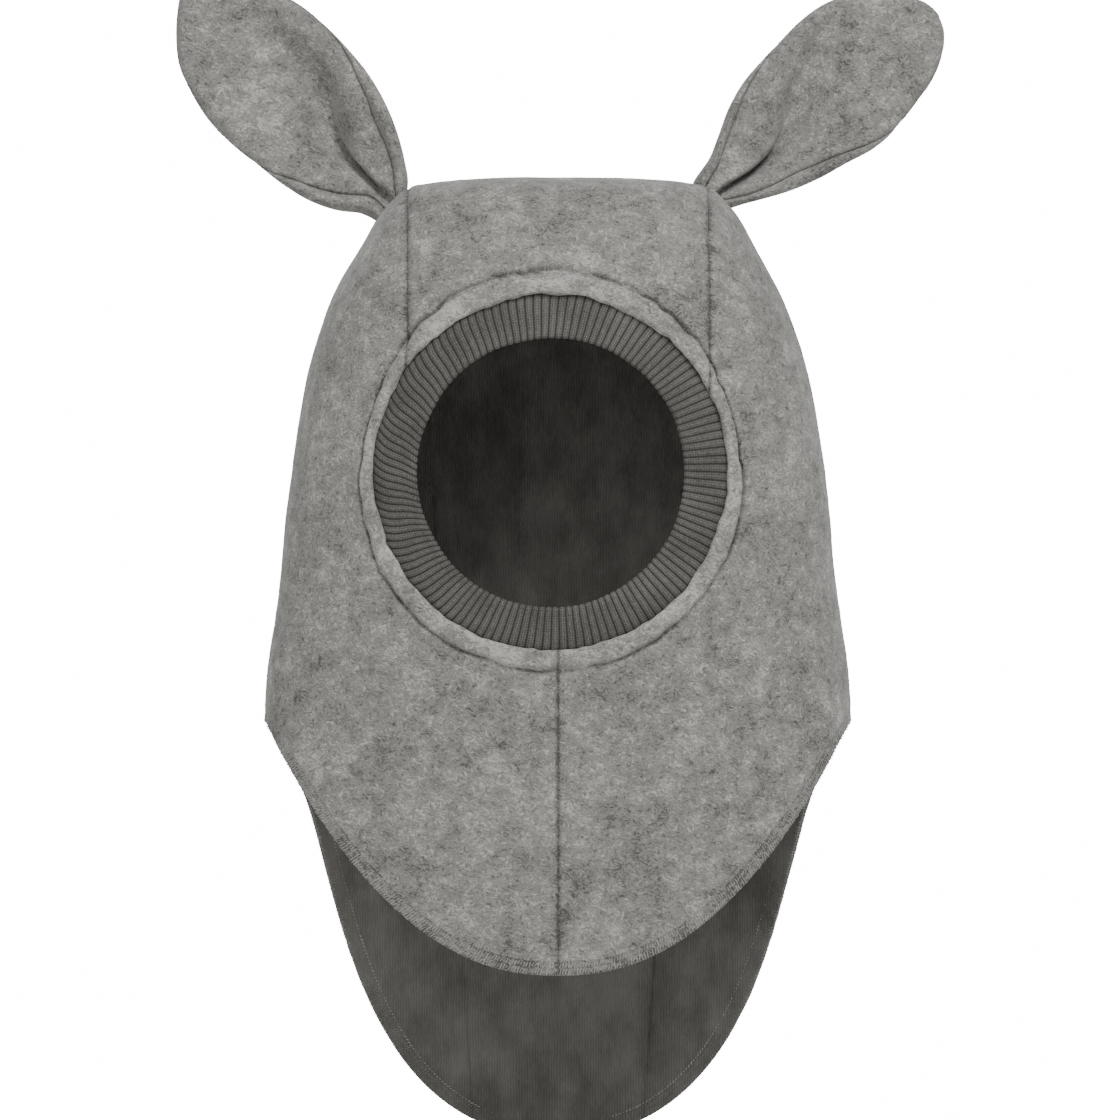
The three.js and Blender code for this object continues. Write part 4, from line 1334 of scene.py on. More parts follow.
@dataclass
class FaceRib:
    """The band of rib knit, folded double round the face opening."""

    form: HoodForm
    finishes: Finishes
    wales: int = 128
    samples: int = 8
    width: float = 17 * MM
    wale_height: float = 0.62 * MM
    lean: float = 0.12
    join_lean: float = 0.012

    def join_angle(self) -> float:
        """Where the band's two ends meet: at the bottom, in line with the chin seam."""
        return -math.pi / 2 - math.asin(self.form.face_side / (self.form.face_radius - self.width / 2))

    def section(self) -> tuple[Array, Array]:
        """The closed section of the band: how far in from the opening's edge, and how deep."""
        into = np.array([-1.6, -0.8, 0, 0.8, 1.6, 2.6, 3.8, 5.2, 6.6, 8, 9.4, 10.8, 12.2, 13.4, 14.4, 15.2]) * MM
        depth = 0.72 * MM + 1.5 * MM * np.exp(-np.maximum(0, into + 0.8 * MM) / (2.4 * MM))
        depth += 0.25 * MM * smoothstep(8 * MM, 15 * MM, into)
        beta = np.radians(np.array([70, 45, 20, -5, -30, -55, -80]))
        radius = 1.2 * MM
        fold_into = self.width - radius + radius * np.cos(beta)
        fold_depth = depth[-1] + radius - radius * np.sin(beta)
        back_into = np.array([14.6, 12, 9, 6, 3, 0.6, -1.0, -1.7]) * MM
        back_depth = np.full(len(back_into), depth[-1] + 2 * radius)
        back_depth[-3:] = (3.0 * MM, 2.75 * MM, 2.45 * MM)
        return np.concatenate([into, fold_into, back_into]), np.concatenate([depth, fold_depth, back_depth])

    def build(self) -> None:
        """Builds the band: its smooth ring, then its wales."""
        form, count = self.form, self.wales * self.samples
        into, depth = self.section()
        start = self.join_angle()
        turned = 2 * np.pi * np.arange(count) / count
        angle = start + turned
        upright = np.angle(np.exp(1j * (angle - math.radians(172))))
        lean = self.lean * bump(0, math.radians(48), upright) + self.join_lean
        inward = np.clip(into / self.width, 0, 1)
        curved = inward + 0.07 * np.sin(2 * np.pi * inward)
        rows = []
        wobble = SoftNoise(31)
        for u, d, c in zip(into, depth, curved):
            a = angle + lean * c
            loose = wobble.at(np.stack([np.cos(a), np.sin(a), 0 * a], -1) * 40 * MM, 9 * MM)
            x, drop = form.around_face(a, form.face_radius - u + loose * 0.35 * MM * c)
            rows.append(form.on_front(x, drop, np.full(count, -d) + loose * 0.25 * MM)[0])
        points = np.array(rows)
        number = np.arange(points.shape[0] * count).reshape(points.shape[0], count)
        nxt, beside = np.roll(number, -1, axis=0), np.roll(number, -1, axis=1)
        both = np.roll(nxt, -1, axis=1)
        quads = np.stack([number, beside, both, nxt], -1).reshape(-1, 4)
        ring = mesh_object("rib_ring", points.reshape(-1, 3), quads)
        wale = np.tile(turned * self.wales / (2 * np.pi), (points.shape[0], 1))
        travel = np.concatenate([[0], np.cumsum(np.hypot(np.diff(into), np.diff(depth)))])
        down = np.tile(travel[:, None], (1, count))
        set_attribute(ring, "wale", np.stack([wale, down, 0 * down], -1).reshape(-1, 3))
        held = np.tile(smoothstep(-1.2 * MM, 0.8 * MM, into)[:, None], (1, count))
        set_attribute(ring, "held", held.ravel())
        join = np.minimum(turned, 2 * np.pi - turned) * form.face_radius
        set_attribute(ring, "join", np.tile(bump(0, 0.55 * MM, join), (points.shape[0], 1)).ravel())
        piece = self.knit().run(ring, "rib_knit_band")
        hand_in(piece, "hood", "rib_knit", "face_rib")

    def knit(self) -> GeometryTree:
        """The tree that raises the wales on the smooth ring."""
        made = GeometryTree(
            "Rib wales",
            {"Wale height": self.wale_height, "Flatness": 3.2, "Join depth": 0.7 * MM, "Material": self.finishes.rib},
        )
        n, given = made.nodes, made.given
        held, join = made.attribute("held"), made.attribute("join")
        across = n.math("FRACT", n.part(made.attribute("wale", "FLOAT_VECTOR"), "X"))
        side = n.math("ABSOLUTE", n.times_plus(across, 2.0, -1.0))
        crown = n.minus(0.55, n.math("POWER", side, given["Flatness"]))
        height = n.times(n.times(crown, given["Wale height"]), held)
        height = n.minus(height, n.times(join, given["Join depth"]))
        normal = n.add("GeometryNodeInputNormal").outputs[0]
        offset = n.add("ShaderNodeVectorMath", {0: normal, "Scale": height}, operation="SCALE").outputs[0]
        moved = n.add("GeometryNodeSetPosition", {"Geometry": given["Geometry"], "Offset": offset})
        made.finish(moved.outputs[0])
        return made


# Stitching


@dataclass(frozen=True)
class StitchStyle:
    """One kind of stitch: how far apart, how long and how thick, how it rises and how it slants."""

    pitch: float
    length: float
    radius: float
    rise: float = 0.25 * MM
    dip: float = 0.15 * MM
    slant: float = 0.0
    unevenness: float = 0.12

    def tree(self, material: bpy.types.Material, seed: int) -> GeometryTree:
        """The tree that lays the stitches along a line of points that know which way is up."""
        made = GeometryTree(
            "Stitches on a line",
            {
                "Pitch": self.pitch,
                "Length": self.length,
                "Thread radius": self.radius,
                "Rise": self.rise,
                "Dip": self.dip,
                "Slant": math.radians(self.slant),
                "Unevenness": self.unevenness,
                "Seed": seed,
                "Material": material,
            },
        )
        n, given = made.nodes, made.given
        line = n.add("GeometryNodeMeshToCurve", {0: given["Geometry"]}).outputs[0]
        even = n.add("GeometryNodeResampleCurve", {"Curve": line, "Length": given["Pitch"]}, mode="LENGTH").outputs[0]
        spots = n.add("GeometryNodeCurveToPoints", {"Curve": even}, mode="EVALUATED")
        up = made.attribute("up", "FLOAT_VECTOR")
        facing = n.add("FunctionNodeAlignRotationToVector", {"Vector": up}, axis="Z")
        heading = {"Rotation": facing.outputs[0], "Vector": spots.outputs["Tangent"]}
        turned = n.add("FunctionNodeAlignRotationToVector", heading, axis="X", pivot_axis="Z")
        chance = n.add("FunctionNodeRandomValue", {"Seed": given["Seed"]}, data_type="FLOAT")
        chance.inputs[2].default_value, chance.inputs[3].default_value = -1.0, 1.0
        waver = n.times(chance.outputs[1], given["Unevenness"])
        slant = n.times_plus(waver, 1.2, given["Slant"])
        spin = n.add("FunctionNodeAxisAngleToRotation", {"Axis": (0, 0, 1), "Angle": slant})
        both = {0: turned.outputs[0], 1: spin.outputs[0]}
        rotation = n.add("FunctionNodeRotateRotation", both, rotation_space="LOCAL").outputs[0]
        size = n.plus(1.0, waver)
        half = n.times(given["Length"], 0.5)
        low = n.times(given["Dip"], -1.0)
        start = n.add("ShaderNodeCombineXYZ", {0: n.times(half, -1.0), 2: low}).outputs[0]
        top = n.add("ShaderNodeCombineXYZ", {2: n.times(given["Rise"], 2.0)}).outputs[0]
        end = n.add("ShaderNodeCombineXYZ", {0: half, 2: low}).outputs[0]
        bend = {"Resolution": 5, "Start": start, "Middle": top, "End": end}
        arc = n.add("GeometryNodeCurveQuadraticBezier", bend).outputs[0]
        thread = {"Resolution": 6, "Radius": given["Thread radius"]}
        ring = n.add("GeometryNodeCurvePrimitiveCircle", thread, mode="RADIUS").outputs[0]
        swept = {"Curve": arc, "Profile Curve": ring, "Fill Caps": True}
        stitch = n.add("GeometryNodeCurveToMesh", swept).outputs[0]
        laid = {"Points": spots.outputs["Points"], "Instance": stitch, "Rotation": rotation, "Scale": size}
        made.finish(n.add("GeometryNodeInstanceOnPoints", laid).outputs[0])
        return made


class Stitching:
    """Sews lines of stitches and hands each line in as one piece."""

    def __init__(self) -> None:
        """Starts with no stitches sewn."""
        self.sewn = 0

    def line(
        self, points: Array, ups: Array, style: StitchStyle, material: bpy.types.Material, closed: bool = False
    ) -> Piece:
        """Sews one line.

        Args:
            points: places along the line.
            ups: which way is up from the cloth at each.
            style: the kind of stitch.
            material: the thread's material.
            closed: whether the line comes back to its start.

        Returns:
            The stitches, as one mesh.
        """
        self.sewn += 1
        count = len(points)
        edges = [(i, i + 1) for i in range(count - 1)] + ([(count - 1, 0)] if closed else [])
        mesh = bpy.data.meshes.new("line")
        mesh.from_pydata(np.asarray(points, float).tolist(), edges, [])
        source = new_object("line", mesh)
        set_attribute(source, "up", ups)
        return style.tree(material, self.sewn).run(source, f"stitches_{self.sewn}")

    def piece(self, name: str, lines: list[Piece], body: str, *nodes: str) -> Piece:
        """Joins lines into one piece that rides on a body.

        Args:
            name: the piece's name.
            lines: the lines of stitches.
            body: the body's name, or "" where the piece is bent between two bodies later.
            nodes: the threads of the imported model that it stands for.

        Returns:
            The piece.
        """
        bm = bmesh.new()
        for line in lines:
            bm.from_mesh(line.data)
        thread = next(m for m in lines[0].data.materials if m)
        for line in lines[1:]:
            old = line.data
            bpy.data.objects.remove(line)
            bpy.data.meshes.remove(old)
        made = lines[0]
        bm.to_mesh(made.data)
        bm.free()
        made.data.shade_smooth()
        made.name = made.data.name = name
        made.data.materials.clear()
        made.data.materials.append(thread)
        made.data.polygons.foreach_set("material_index", np.zeros(len(made.data.polygons), np.int32))
        hand_in(made, body, "sewing_thread", *nodes)
        return made


@dataclass
class HoodStitching:
    """Every line of stitching on the hood itself."""

    outer: OuterHood
    sewing: Stitching
    topstitch_out: float = 8 * MM
    band_width: float = 5.5 * MM
    sunk: float = 0.06 * MM
    pile_rise: float = 0.1 * MM
    pile_seam_rise: float = 0.55 * MM
    row_gap: float = 1.2 * MM
    needle_gap: float = 0.3 * MM
    plain: StitchStyle = StitchStyle(2.9 * MM, 2.2 * MM, 0.12 * MM, rise=0.06 * MM, dip=0.2 * MM)
    looper: StitchStyle = StitchStyle(1.15 * MM, 2.5 * MM, 0.15 * MM, rise=0.08 * MM, slant=62, unevenness=0.36)
    needle: StitchStyle = StitchStyle(1.5 * MM, 0.8 * MM, 0.16 * MM, rise=0.05 * MM, slant=12, unevenness=0.35)
    edge_wrap: StitchStyle = StitchStyle(
        1.15 * MM, 3.2 * MM, 0.15 * MM, rise=0.1 * MM, dip=0.25 * MM, slant=78, unevenness=0.3
    )

    @property
    def form(self) -> HoodForm:
        """The hood's form."""
        return self.outer.form

    def sew(
        self, points: Array, ups: Array, inside: float, style: StitchStyle, from_hem: float = 1.0, closed: bool = False
    ) -> Piece:
        """Sews a line on the wool's finished face, or inside on the lining.

        Args:
            points: places on the plain outside of the hood.
            ups: the outward normals there.
            inside: 0 to sew on the wool, or how deep inside the lining's face lies.
            style: the kind of stitch.
            from_hem: how far the line lies from the hem.
            closed: whether the line comes back to its start.

        Returns:
            The stitches.
        """
        hem, finishes = from_hem < 1, self.outer.finishes
        if inside:
            raised = points + ups * (self.flare(points, from_hem) - inside)[:, None]
            # inside the hood the hem stitches take the darker overlock yarn, painted shade
            material = finishes.shaded_lining_yarn if hem else finishes.dark_thread
            return self.sewing.line(raised, -ups, style, material, closed)
        laid = self.outer.laid(points, ups, from_hem, self.sunk)
        return self.sewing.line(laid, ups, style, finishes.yarn if hem else finishes.thread, closed)

    def face_line(self, inside: float) -> Piece:
        """A line of stitches round the face."""
        angles = np.linspace(0, 2 * np.pi, 721)[:-1]
        x, drop = self.form.around_face(angles, self.form.face_radius + self.topstitch_out)
        return self.sew(*self.form.on_front(x, drop), inside, self.plain, closed=True)

    def crown_line(self, side: int, inside: float) -> Piece:
        """A line of stitches along a crown seam, from the face over the crown to the flap's hem."""
        form = self.form
        t = np.linspace(0, 1, 4001)
        rows = []
        for behind in (False, True):
            last = form.face_drop if not behind else form.flap_drop - 2 * MM
            drop = last * t[::-1] if not behind else last * t
            half = form.seam_half_width(drop) if behind else np.full(len(drop), form.centre_half_width)
            share = half / np.maximum(form.section_at_drop(drop)[1], 1e-6)
            keep = share < 1
            rows.append(form.shaped(share[keep], drop[keep], np.full(keep.sum(), behind)))
        points = np.vstack(rows)
        points[:, 0] *= side
        clear = form.face_distance(points) > 1.5 * MM
        points = points[clear & (form.wall - points[:, 2] < form.flap_drop - 3 * MM)]
        steps = run_lengths(points)
        even = np.linspace(0, steps[-1], int(steps[-1] / (1.5 * MM)))
        points = np.stack([np.interp(even, steps, points[:, k]) for k in range(3)], -1)
        along = unit(np.gradient(points, axis=0))
        aside = np.where(points[:, 1:2] < 0, [[side, 0.0, 0.0]], [[side, 0.0, -form.seam_slope()]])
        ups = unit(np.cross(along, aside) * side)
        outward = points - np.array([0, 0, form.wall - form.eye_drop])
        ups *= np.sign((ups * outward).sum(axis=1, keepdims=True))
        return self.sew(points, ups, inside, self.plain)

    def chin_line(self, inside: float) -> Piece:
        """A line of stitches down the chin seam."""
        form = self.form
        drop = np.linspace(form.face_drop + form.face_radius + 1 * MM, form.bib_drop - 2 * MM, 100)
        return self.sew(*form.on_front(0 * drop, drop), inside, self.plain)

    def rib_line(self) -> Piece:
        """The stitches that join the two ends of the rib band."""
        rib = FaceRib(self.form, self.outer.finishes)
        into = np.linspace(1.5 * MM, rib.width - 1 * MM, 24)
        angle = rib.join_angle() + rib.join_lean * into / rib.width
        x, drop = self.form.around_face(angle, self.form.face_radius - into)
        points, ups = self.form.on_front(x, drop, np.full(len(x), -1.5 * MM))
        return self.sewing.line(points, ups, self.plain, self.outer.finishes.dark_thread)

    def hem_points(self, away: float) -> tuple[Array, Array]:
        """Points and normals on a line a distance in from the hem, all the way round."""
        form = self.form
        turns = np.linspace(0, 1, 901)[:-1]
        runs = np.linspace(0.72, 1.0, 160)
        points = form.point(turns[:, None], runs[None, :])
        hem = form.point(np.linspace(0, 1, 1801), np.ones(1801))
        gaps = np.array([np.linalg.norm(p[:, None, :] - hem[None, ::2, :], axis=2).min(axis=1) for p in points])
        run = np.array([np.interp(-away, -g, runs) for g in gaps])
        return form.point(turns, run), form.normal(turns, run)

    def flare(self, points: Array, away: float) -> Array:
        """How far the hem wavers out at points of it."""
        return self.outer.flare(Sheet.bare(points, points, np.zeros(len(points)), away))

    def hem_line(self, away: float, inside: float, style: StitchStyle) -> Piece:
        """A line of stitches a distance in from the hem."""
        return self.sew(*self.hem_points(away), inside, style, from_hem=away, closed=True)

    def edge_line(self) -> Piece:
        """The threads that wrap round the cut edge of the cloth."""
        points, normals = self.hem_points(0.0)
        along = unit(np.roll(points, -1, axis=0) - np.roll(points, 1, axis=0))
        out = unit(np.cross(normals, along))
        away = points - np.array([0, 0, self.form.wall - self.form.eye_drop])
        out *= np.sign((out * away).sum(axis=1, keepdims=True))
        middle = points + normals * (self.flare(points, 0.0) - 2.0 * MM)[:, None]
        return self.sewing.line(middle, out, self.edge_wrap, self.outer.finishes.yarn, closed=True)

    def build(self) -> None:
        """Sews every line of the hood."""
        form, piece = self.form, self.sewing.piece
        on_pile, in_pile = form.wall - self.pile_rise, form.wall - self.pile_seam_rise
        piece("face_topstitch", [self.face_line(0)], "hood", "face_topstitch_needle_thread")
        piece("face_topstitch_inside", [self.face_line(on_pile)], "hood", "face_topstitch_bobbin_thread")
        for side, name in ((1, "left"), (-1, "right")):
            for cloth, layer, inside in (("wool", "outer", 0), ("velour", "lining", in_pile)):
                lines = [self.crown_line(side, inside)]
                piece(f"{cloth}_{name}_crown_stitches", lines, "hood", f"{layer}_{name}_crown_seam_thread")
        piece("wool_chin_stitches", [self.chin_line(0)], "hood", "outer_chin_seam_thread")
        piece("velour_chin_stitches", [self.chin_line(in_pile)], "hood", "lining_chin_seam_thread")
        piece("rib_join_stitches", [self.rib_line()], "hood", "rib_join_thread")
        rows = (self.band_width / 2 - self.row_gap, self.band_width / 2 + self.row_gap)
        outside = [self.hem_line(away, 0, self.looper) for away in rows]
        piece("hem_overlock_outside", [*outside, self.edge_line()], "hood", "hem_upper_looper_thread")
        inside = [self.hem_line(away, on_pile, self.looper) for away in rows]
        piece("hem_overlock_inside", inside, "hood", "hem_lower_looper_thread")
        needle_away = self.band_width + self.needle_gap
        lines = [self.hem_line(needle_away, depth, self.needle) for depth in (0, form.wall)]
        piece("hem_needle_stitches", lines, "hood", "hem_needle_thread")


# The ears


def smooth_through(where: Array, places: Sequence[float], values: Sequence[float]) -> Array:
    """A smooth curve through given values.

    Args:
        where: where to read the curve.
        places: where the values lie, rising.
        values: the values.

    Returns:
        The curve at each place asked for.
    """
    x, y = np.asarray(places, float), np.asarray(values, float)
    slope = np.gradient(y, x)
    i = np.clip(np.searchsorted(x, where) - 1, 0, len(x) - 2)
    h = x[i + 1] - x[i]
    t = np.clip((where - x[i]) / h, 0, 1)
    a, b = (1 + 2 * t) * (1 - t) ** 2, t * (1 - t) ** 2
    return a * y[i] + b * h * slope[i] + (1 - a) * y[i + 1] - (1 - t) * t**2 * h * slope[i + 1]


@dataclass(frozen=True)
class EarPattern:
    """One ear's outline and folds. Each pair is a distance from the hinge and a place across, in millimetres."""

    name: str
    side: int
    tilt: float
    upper: tuple[tuple[float, float], ...]
    lower: tuple[tuple[float, float], ...]
    upper_rim: tuple[tuple[float, float], ...]
    lower_rim: tuple[tuple[float, float], ...]
    fold: tuple[tuple[float, float], ...]
    fold_depth: tuple[tuple[float, float], ...]
    seed: int


RIGHT_EAR = EarPattern(
    name="right_ear",
    side=-1,
    tilt=43.5,
    upper=(
        (-5, 3), (-2.6, -0.2), (4, -5.6), (10, -9.6), (16, -13), (25, -17.1), (38, -21.1), (53, -23.1),
        (68, -23.4), (82, -21.4), (92, -18.4), (101, -14.6), (108, -10.2), (112, -6.4), (114.6, -2.8),
        (116.1, 0.6), (116.8, 3.2), (117, 4.8),
    ),
    lower=(
        (-5, 19), (-1.6, 19.6), (4, 21.8), (9, 25.7), (20, 31.2), (32, 34.1), (45, 35.4), (59, 35.6),
        (75, 34.4), (88, 31.1), (97, 27.6), (104.2, 22.1), (109.4, 16.6), (113.4, 11.4), (115.6, 8.2),
        (116.7, 6.2), (117, 4.8),
    ),
    upper_rim=(
        (-5, 6), (0, 6.8), (8, 6.5), (16, 7), (25, 7.4), (33, 5.9), (42, 4.4), (48, 2.8), (56, 1.2), (64, 0.4),
        (120, 0.4),
    ),
    lower_rim=(
        (-5, 5), (0, 7.6), (7, 9.2), (15, 7.6), (22, 6.3), (30, 4.6), (36, 2.8), (41, 1.2), (46, 0.4),
        (120, 0.4),
    ),
    fold=((-5, 9), (3, 8.6), (14, 7.2), (22, 6.1), (30, 4.1), (39, 0.6), (46, -3.4), (54, -6), (64, -6), (120, -6)),
    fold_depth=(
        (-5, 0.3), (4, 0.45), (13, 0.85), (24, 1), (36, 0.98), (48, 0.84), (62, 0.64), (78, 0.38), (95, 0.12),
        (120, 0),
    ),
    seed=41,
)
LEFT_EAR = EarPattern(
    name="left_ear",
    side=1,
    tilt=43,
    upper=(
        (-9, -3.6), (-6, -5), (0, -6.4), (4, -7.2), (13, -11.3), (24, -16.8), (34, -20.1), (46, -21.7),
        (62, -22.2), (73, -21.8), (82, -20.2), (88, -18), (95, -14), (102, -8), (107, -1.9), (109.7, 3.3),
        (111.1, 7), (111.6, 10),
    ),
    lower=(
        (-9, 9), (-4, 12.1), (3, 15.6), (10, 19.4), (19, 23.9), (32, 28.6), (43, 31.3), (56, 34.6), (64, 35),
        (72, 33.6), (82, 31.3), (92, 29.3), (101, 25.5), (106.4, 21.6), (109.3, 18), (110.9, 14), (111.5, 11.8),
        (111.6, 10),
    ),
    upper_rim=((-9, 5), (0, 4.8), (12, 4.4), (25, 4.2), (34, 3.2), (44, 1.6), (52, 0.5), (120, 0.4)),
    lower_rim=(
        (-9, 3.4), (-3, 4.2), (5, 3.6), (15, 4.7), (27, 6.2), (36, 5.5), (46, 4.1), (55, 2.7), (63, 1.2),
        (67, 0.4), (120, 0.4),
    ),
    fold=(
        (-9, 3.4), (-6, 4.2), (4, 5.3), (15, 6.7), (25, 6.3), (36, 2.9), (45, -1.3), (54, -5.5), (61, -8.8),
        (68, -10.5), (120, -10.5),
    ),
    fold_depth=(
        (-9, 0.3), (2, 0.45), (12, 0.85), (26, 1), (38, 1), (50, 0.94), (62, 0.72), (74, 0.38), (90, 0.1),
        (120, 0),
    ),
    seed=51,
)


@dataclass
class Ear:
    """One ear: a front ply set inside a back ply that rolls forward round its edge."""

    form: HoodForm
    finishes: Finishes
    sewing: Stitching
    pattern: EarPattern
    length: float = 117 * MM
    ply: float = 2.0 * MM
    half_thickness: float = 3.4 * MM
    cup: float = 5.0 * MM
    crest: float = 4.2 * MM
    valley: float = 10.0 * MM
    overhang: float = 3.4 * MM
    fullness: float = 1.2 * MM
    back_bulge: float = 5.4 * MM
    edge_radius: float = 4.2 * MM
    groove_depth: float = 1.7 * MM
    seam_gap: float = 0.1 * MM
    bend_length: float = 22 * MM
    rows: int = 150
    columns: int = 96

    def tip(self) -> float:
        """How far the tip lies from the hinge."""
        return self.pattern.upper[-1][0] * MM

    def hinge(self) -> Vector:
        """The hinge's place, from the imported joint."""
        joint = next(j for j in frame["record"]["behaviour"]["joints"] if j["name"] == f"{self.pattern.name}_flop")
        return Vector(joint["pos_m"])

    def read(self, line: Sequence[tuple[float, float]], distance: Array) -> Array:
        """How far across a line of the pattern lies, at a distance from the hinge."""
        return smooth_through(distance, *(np.array(line) * MM).T)

    def outline(self, distance: Array) -> tuple[Array, Array]:
        """Where the upper and lower edges lie across the ear, at a distance from the hinge."""
        return self.read(self.pattern.upper, distance), self.read(self.pattern.lower, distance)

    def pleat(self, distance: Array, across: Array) -> tuple[Array, Array]:
        """How far each point lies below the fold, and how deep the fold is there, from 0 to 1."""
        depth = np.array(self.pattern.fold_depth)
        below = across - self.read(self.pattern.fold, distance)
        return below, smooth_through(distance, depth[:, 0] * MM, depth[:, 1])

    def cupped(self, distance: Array, across: Array) -> tuple[Array, Array]:
        """Each point's share of the half width, from -1 to 1, and how far its cup leans it forward."""
        upper, lower = self.outline(distance)
        share = np.clip((across - (upper + lower) / 2) / np.maximum((lower - upper) / 2, 1 * MM), -1, 1)
        return share, self.cup * share**2 * np.sin(np.pi * np.sqrt(np.clip(distance / self.length, 0, 1)))

    def rumple(self, distance: Array, across: Array, height: float, width: float, draw: int) -> Array:
        """The soft unevenness of one face.

        Args:
            distance: how far from the hinge.
            across: how far across the ear.
            height: how high its swells are.
            width: how wide its swells are.
            draw: which of the ear's seeded draws it takes.

        Returns:
            The height at each point.
        """
        points = np.stack([distance, across, 0 * distance], -1)
        soft, fine = (SoftNoise(self.pattern.seed + draw + step) for step in (0, 1))
        return height * soft.at(points, width) + 0.1 * MM * fine.at(points, 4 * MM)

    def to_world(self, distance: Array, across: Array, ahead: Array) -> Array:
        """Points of the ear from its own measures.

        Args:
            distance: how far from the hinge.
            across: how far across the ear.
            ahead: how far ahead of the hinge.

        Returns:
            The points.
        """
        tilt, side = math.radians(self.pattern.tilt), self.pattern.side
        along = np.array([side * math.cos(tilt), 0, math.sin(tilt)])
        aside = np.array([side * math.sin(tilt), 0, -math.cos(tilt)])
        hinge = np.array(self.hinge())
        below, depth = self.pleat(distance, across)
        over = self.overhang * depth * smoothstep(48 * MM, 20 * MM, distance) * bump(-3.2 * MM, 2.6 * MM, below)
        flat = hinge + distance[..., None] * along + (across + over)[..., None] * aside
        return flat + ahead[..., None] * FORWARD

    def front(self, distance: Array, across: Array) -> Array:
        """How far ahead the front face lies, with its pleat."""
        share, lean = self.cupped(distance, across)
        q, depth = self.pleat(distance, across)
        soft = (1.2 + 4.2 * smoothstep(6 * MM, 46 * MM, distance)) * MM
        above = self.crest * (1 - np.exp(np.minimum(q, 0) / (1.5 * soft))) * np.exp(np.minimum(q, 0) / (26 * MM))
        below = 0.62 * self.crest * (1 - np.exp(-np.maximum(q, 0) / (3.2 * soft)))
        wide = np.where(q > 0, 2.1, 1.2) * soft
        pleat = np.where(q < 0, above, below) - self.valley * bump(0, wide, q)
        swell = self.fullness * (1 - share**2)
        rumple = self.rumple(distance, across, 0.5 * MM, 15 * MM, 0)
        return depth * pleat + lean + swell + self.half_thickness + rumple

    def back(self, distance: Array, across: Array) -> Array:
        """How far ahead the back face lies: a gentler shape than the front."""
        share, lean = self.cupped(distance, across)
        below, depth = self.pleat(distance, across)
        rumple = self.rumple(distance, across, 0.6 * MM, 16 * MM, 2)
        bulge = self.back_bulge * depth * bump(0, 8 * MM, below)
        return lean - self.half_thickness - self.fullness * (1 - share**2) - bulge + rumple

    def surface(self, distance: Array, across: Array, front: bool) -> Array:
        """How far ahead a face lies, rounded in towards the middle at the silhouette.

        Args:
            distance: how far from the hinge.
            across: how far across the ear.
            front: whether it is the front face.

        Returns:
            The place of each point, ahead of the hinge.
        """
        upper, lower = self.outline(distance)
        from_side = np.minimum(across - upper, lower - across)
        from_edge = np.maximum(0, np.minimum(from_side, self.tip() - distance))
        middle = (self.front(distance, across) + self.back(distance, across)) / 2
        face = self.front(distance, across) if front else self.back(distance, across)
        return middle + (face - middle) * rounded(from_edge, self.edge_radius)

    def distances(self) -> Array:
        """The rows along the ear, closer together towards the tip."""
        start = -5 * MM if self.pattern.side < 0 else -8.6 * MM
        t = np.linspace(0, 1, self.rows)
        return start + (self.tip() - start - 0.05 * MM) * np.sin(t * np.pi / 2) ** 0.92

    def seams(self, distance: Array) -> tuple[Array, Array]:
        """Where the upper and lower seams lie across the front."""
        upper, lower = self.outline(distance)
        rims = [self.read(rim, distance) for rim in (self.pattern.upper_rim, self.pattern.lower_rim)]
        half = (lower - upper) / 2
        return upper + np.minimum(rims[0], 0.6 * half), lower - np.minimum(rims[1], 0.6 * half)

    def groove(self, from_seam: Array) -> Array:
        """How far the cloth sinks beside a seam."""
        return -self.groove_depth * np.exp(-from_seam / (0.9 * MM))

    def build_front(self) -> Piece:
        """The front ply, from seam to seam."""
        d = self.distances()
        a, b = self.seams(d)
        t = (1 - np.cos(np.linspace(0, np.pi, self.columns))) / 2
        t = 0.5 * t + 0.5 * np.linspace(0, 1, self.columns)
        gap = self.seam_gap
        across = (a + gap)[:, None] * (1 - t) + (b - gap)[:, None] * t
        dist = np.repeat(d[:, None], self.columns, axis=1)
        from_seam = np.minimum(across - a[:, None], b[:, None] - across)
        ahead = self.surface(dist, across, True) + self.groove(from_seam)
        inner = ahead - self.ply
        return self.shell("wool_front", [(dist, across, ahead)], [(dist, across, inner)], True)

    def part(self, across: Array, front: bool, sink: Array | float = 0.0) -> tuple[tuple, tuple]:
        """A part of the back ply that lies on one face of the ear.

        Args:
            across: how far across the ear each point lies, a row for each distance.
            front: whether the part lies on the front.
            sink: how far the cloth is raised there.

        Returns:
            The measures of its outer and inner sides.
        """
        dist = np.repeat(self.distances()[:, None], across.shape[1], axis=1)
        ahead = self.surface(dist, across, front) + sink
        middle = (self.surface(dist, across, True) + self.surface(dist, across, False)) / 2
        thin = np.where(front, 1, -1) * np.minimum(self.ply, 0.9 * np.abs(ahead - middle))
        return (dist, across, ahead), (dist, across, ahead - thin)

    def rim(self, seam: Array, edge: Array, side: int, share: Array) -> tuple[tuple, tuple]:
        """The rim of the back ply on the front of the ear.

        Args:
            seam: where the rim starts, at a seam.
            edge: where it ends, at the silhouette.
            side: 1 at the lower edge, -1 at the upper.
            share: its columns, each as a share of its width from the seam.

        Returns:
            The measures of its outer and inner sides.
        """
        start = seam + side * self.seam_gap
        across = start[:, None] * (1 - share) + edge[:, None] * share
        roll = 0.22 * np.minimum(side * (edge - seam), 8 * MM)[:, None] * np.sin(np.pi * share)
        return self.part(across, True, self.groove(side * (across - seam[:, None])) + roll)

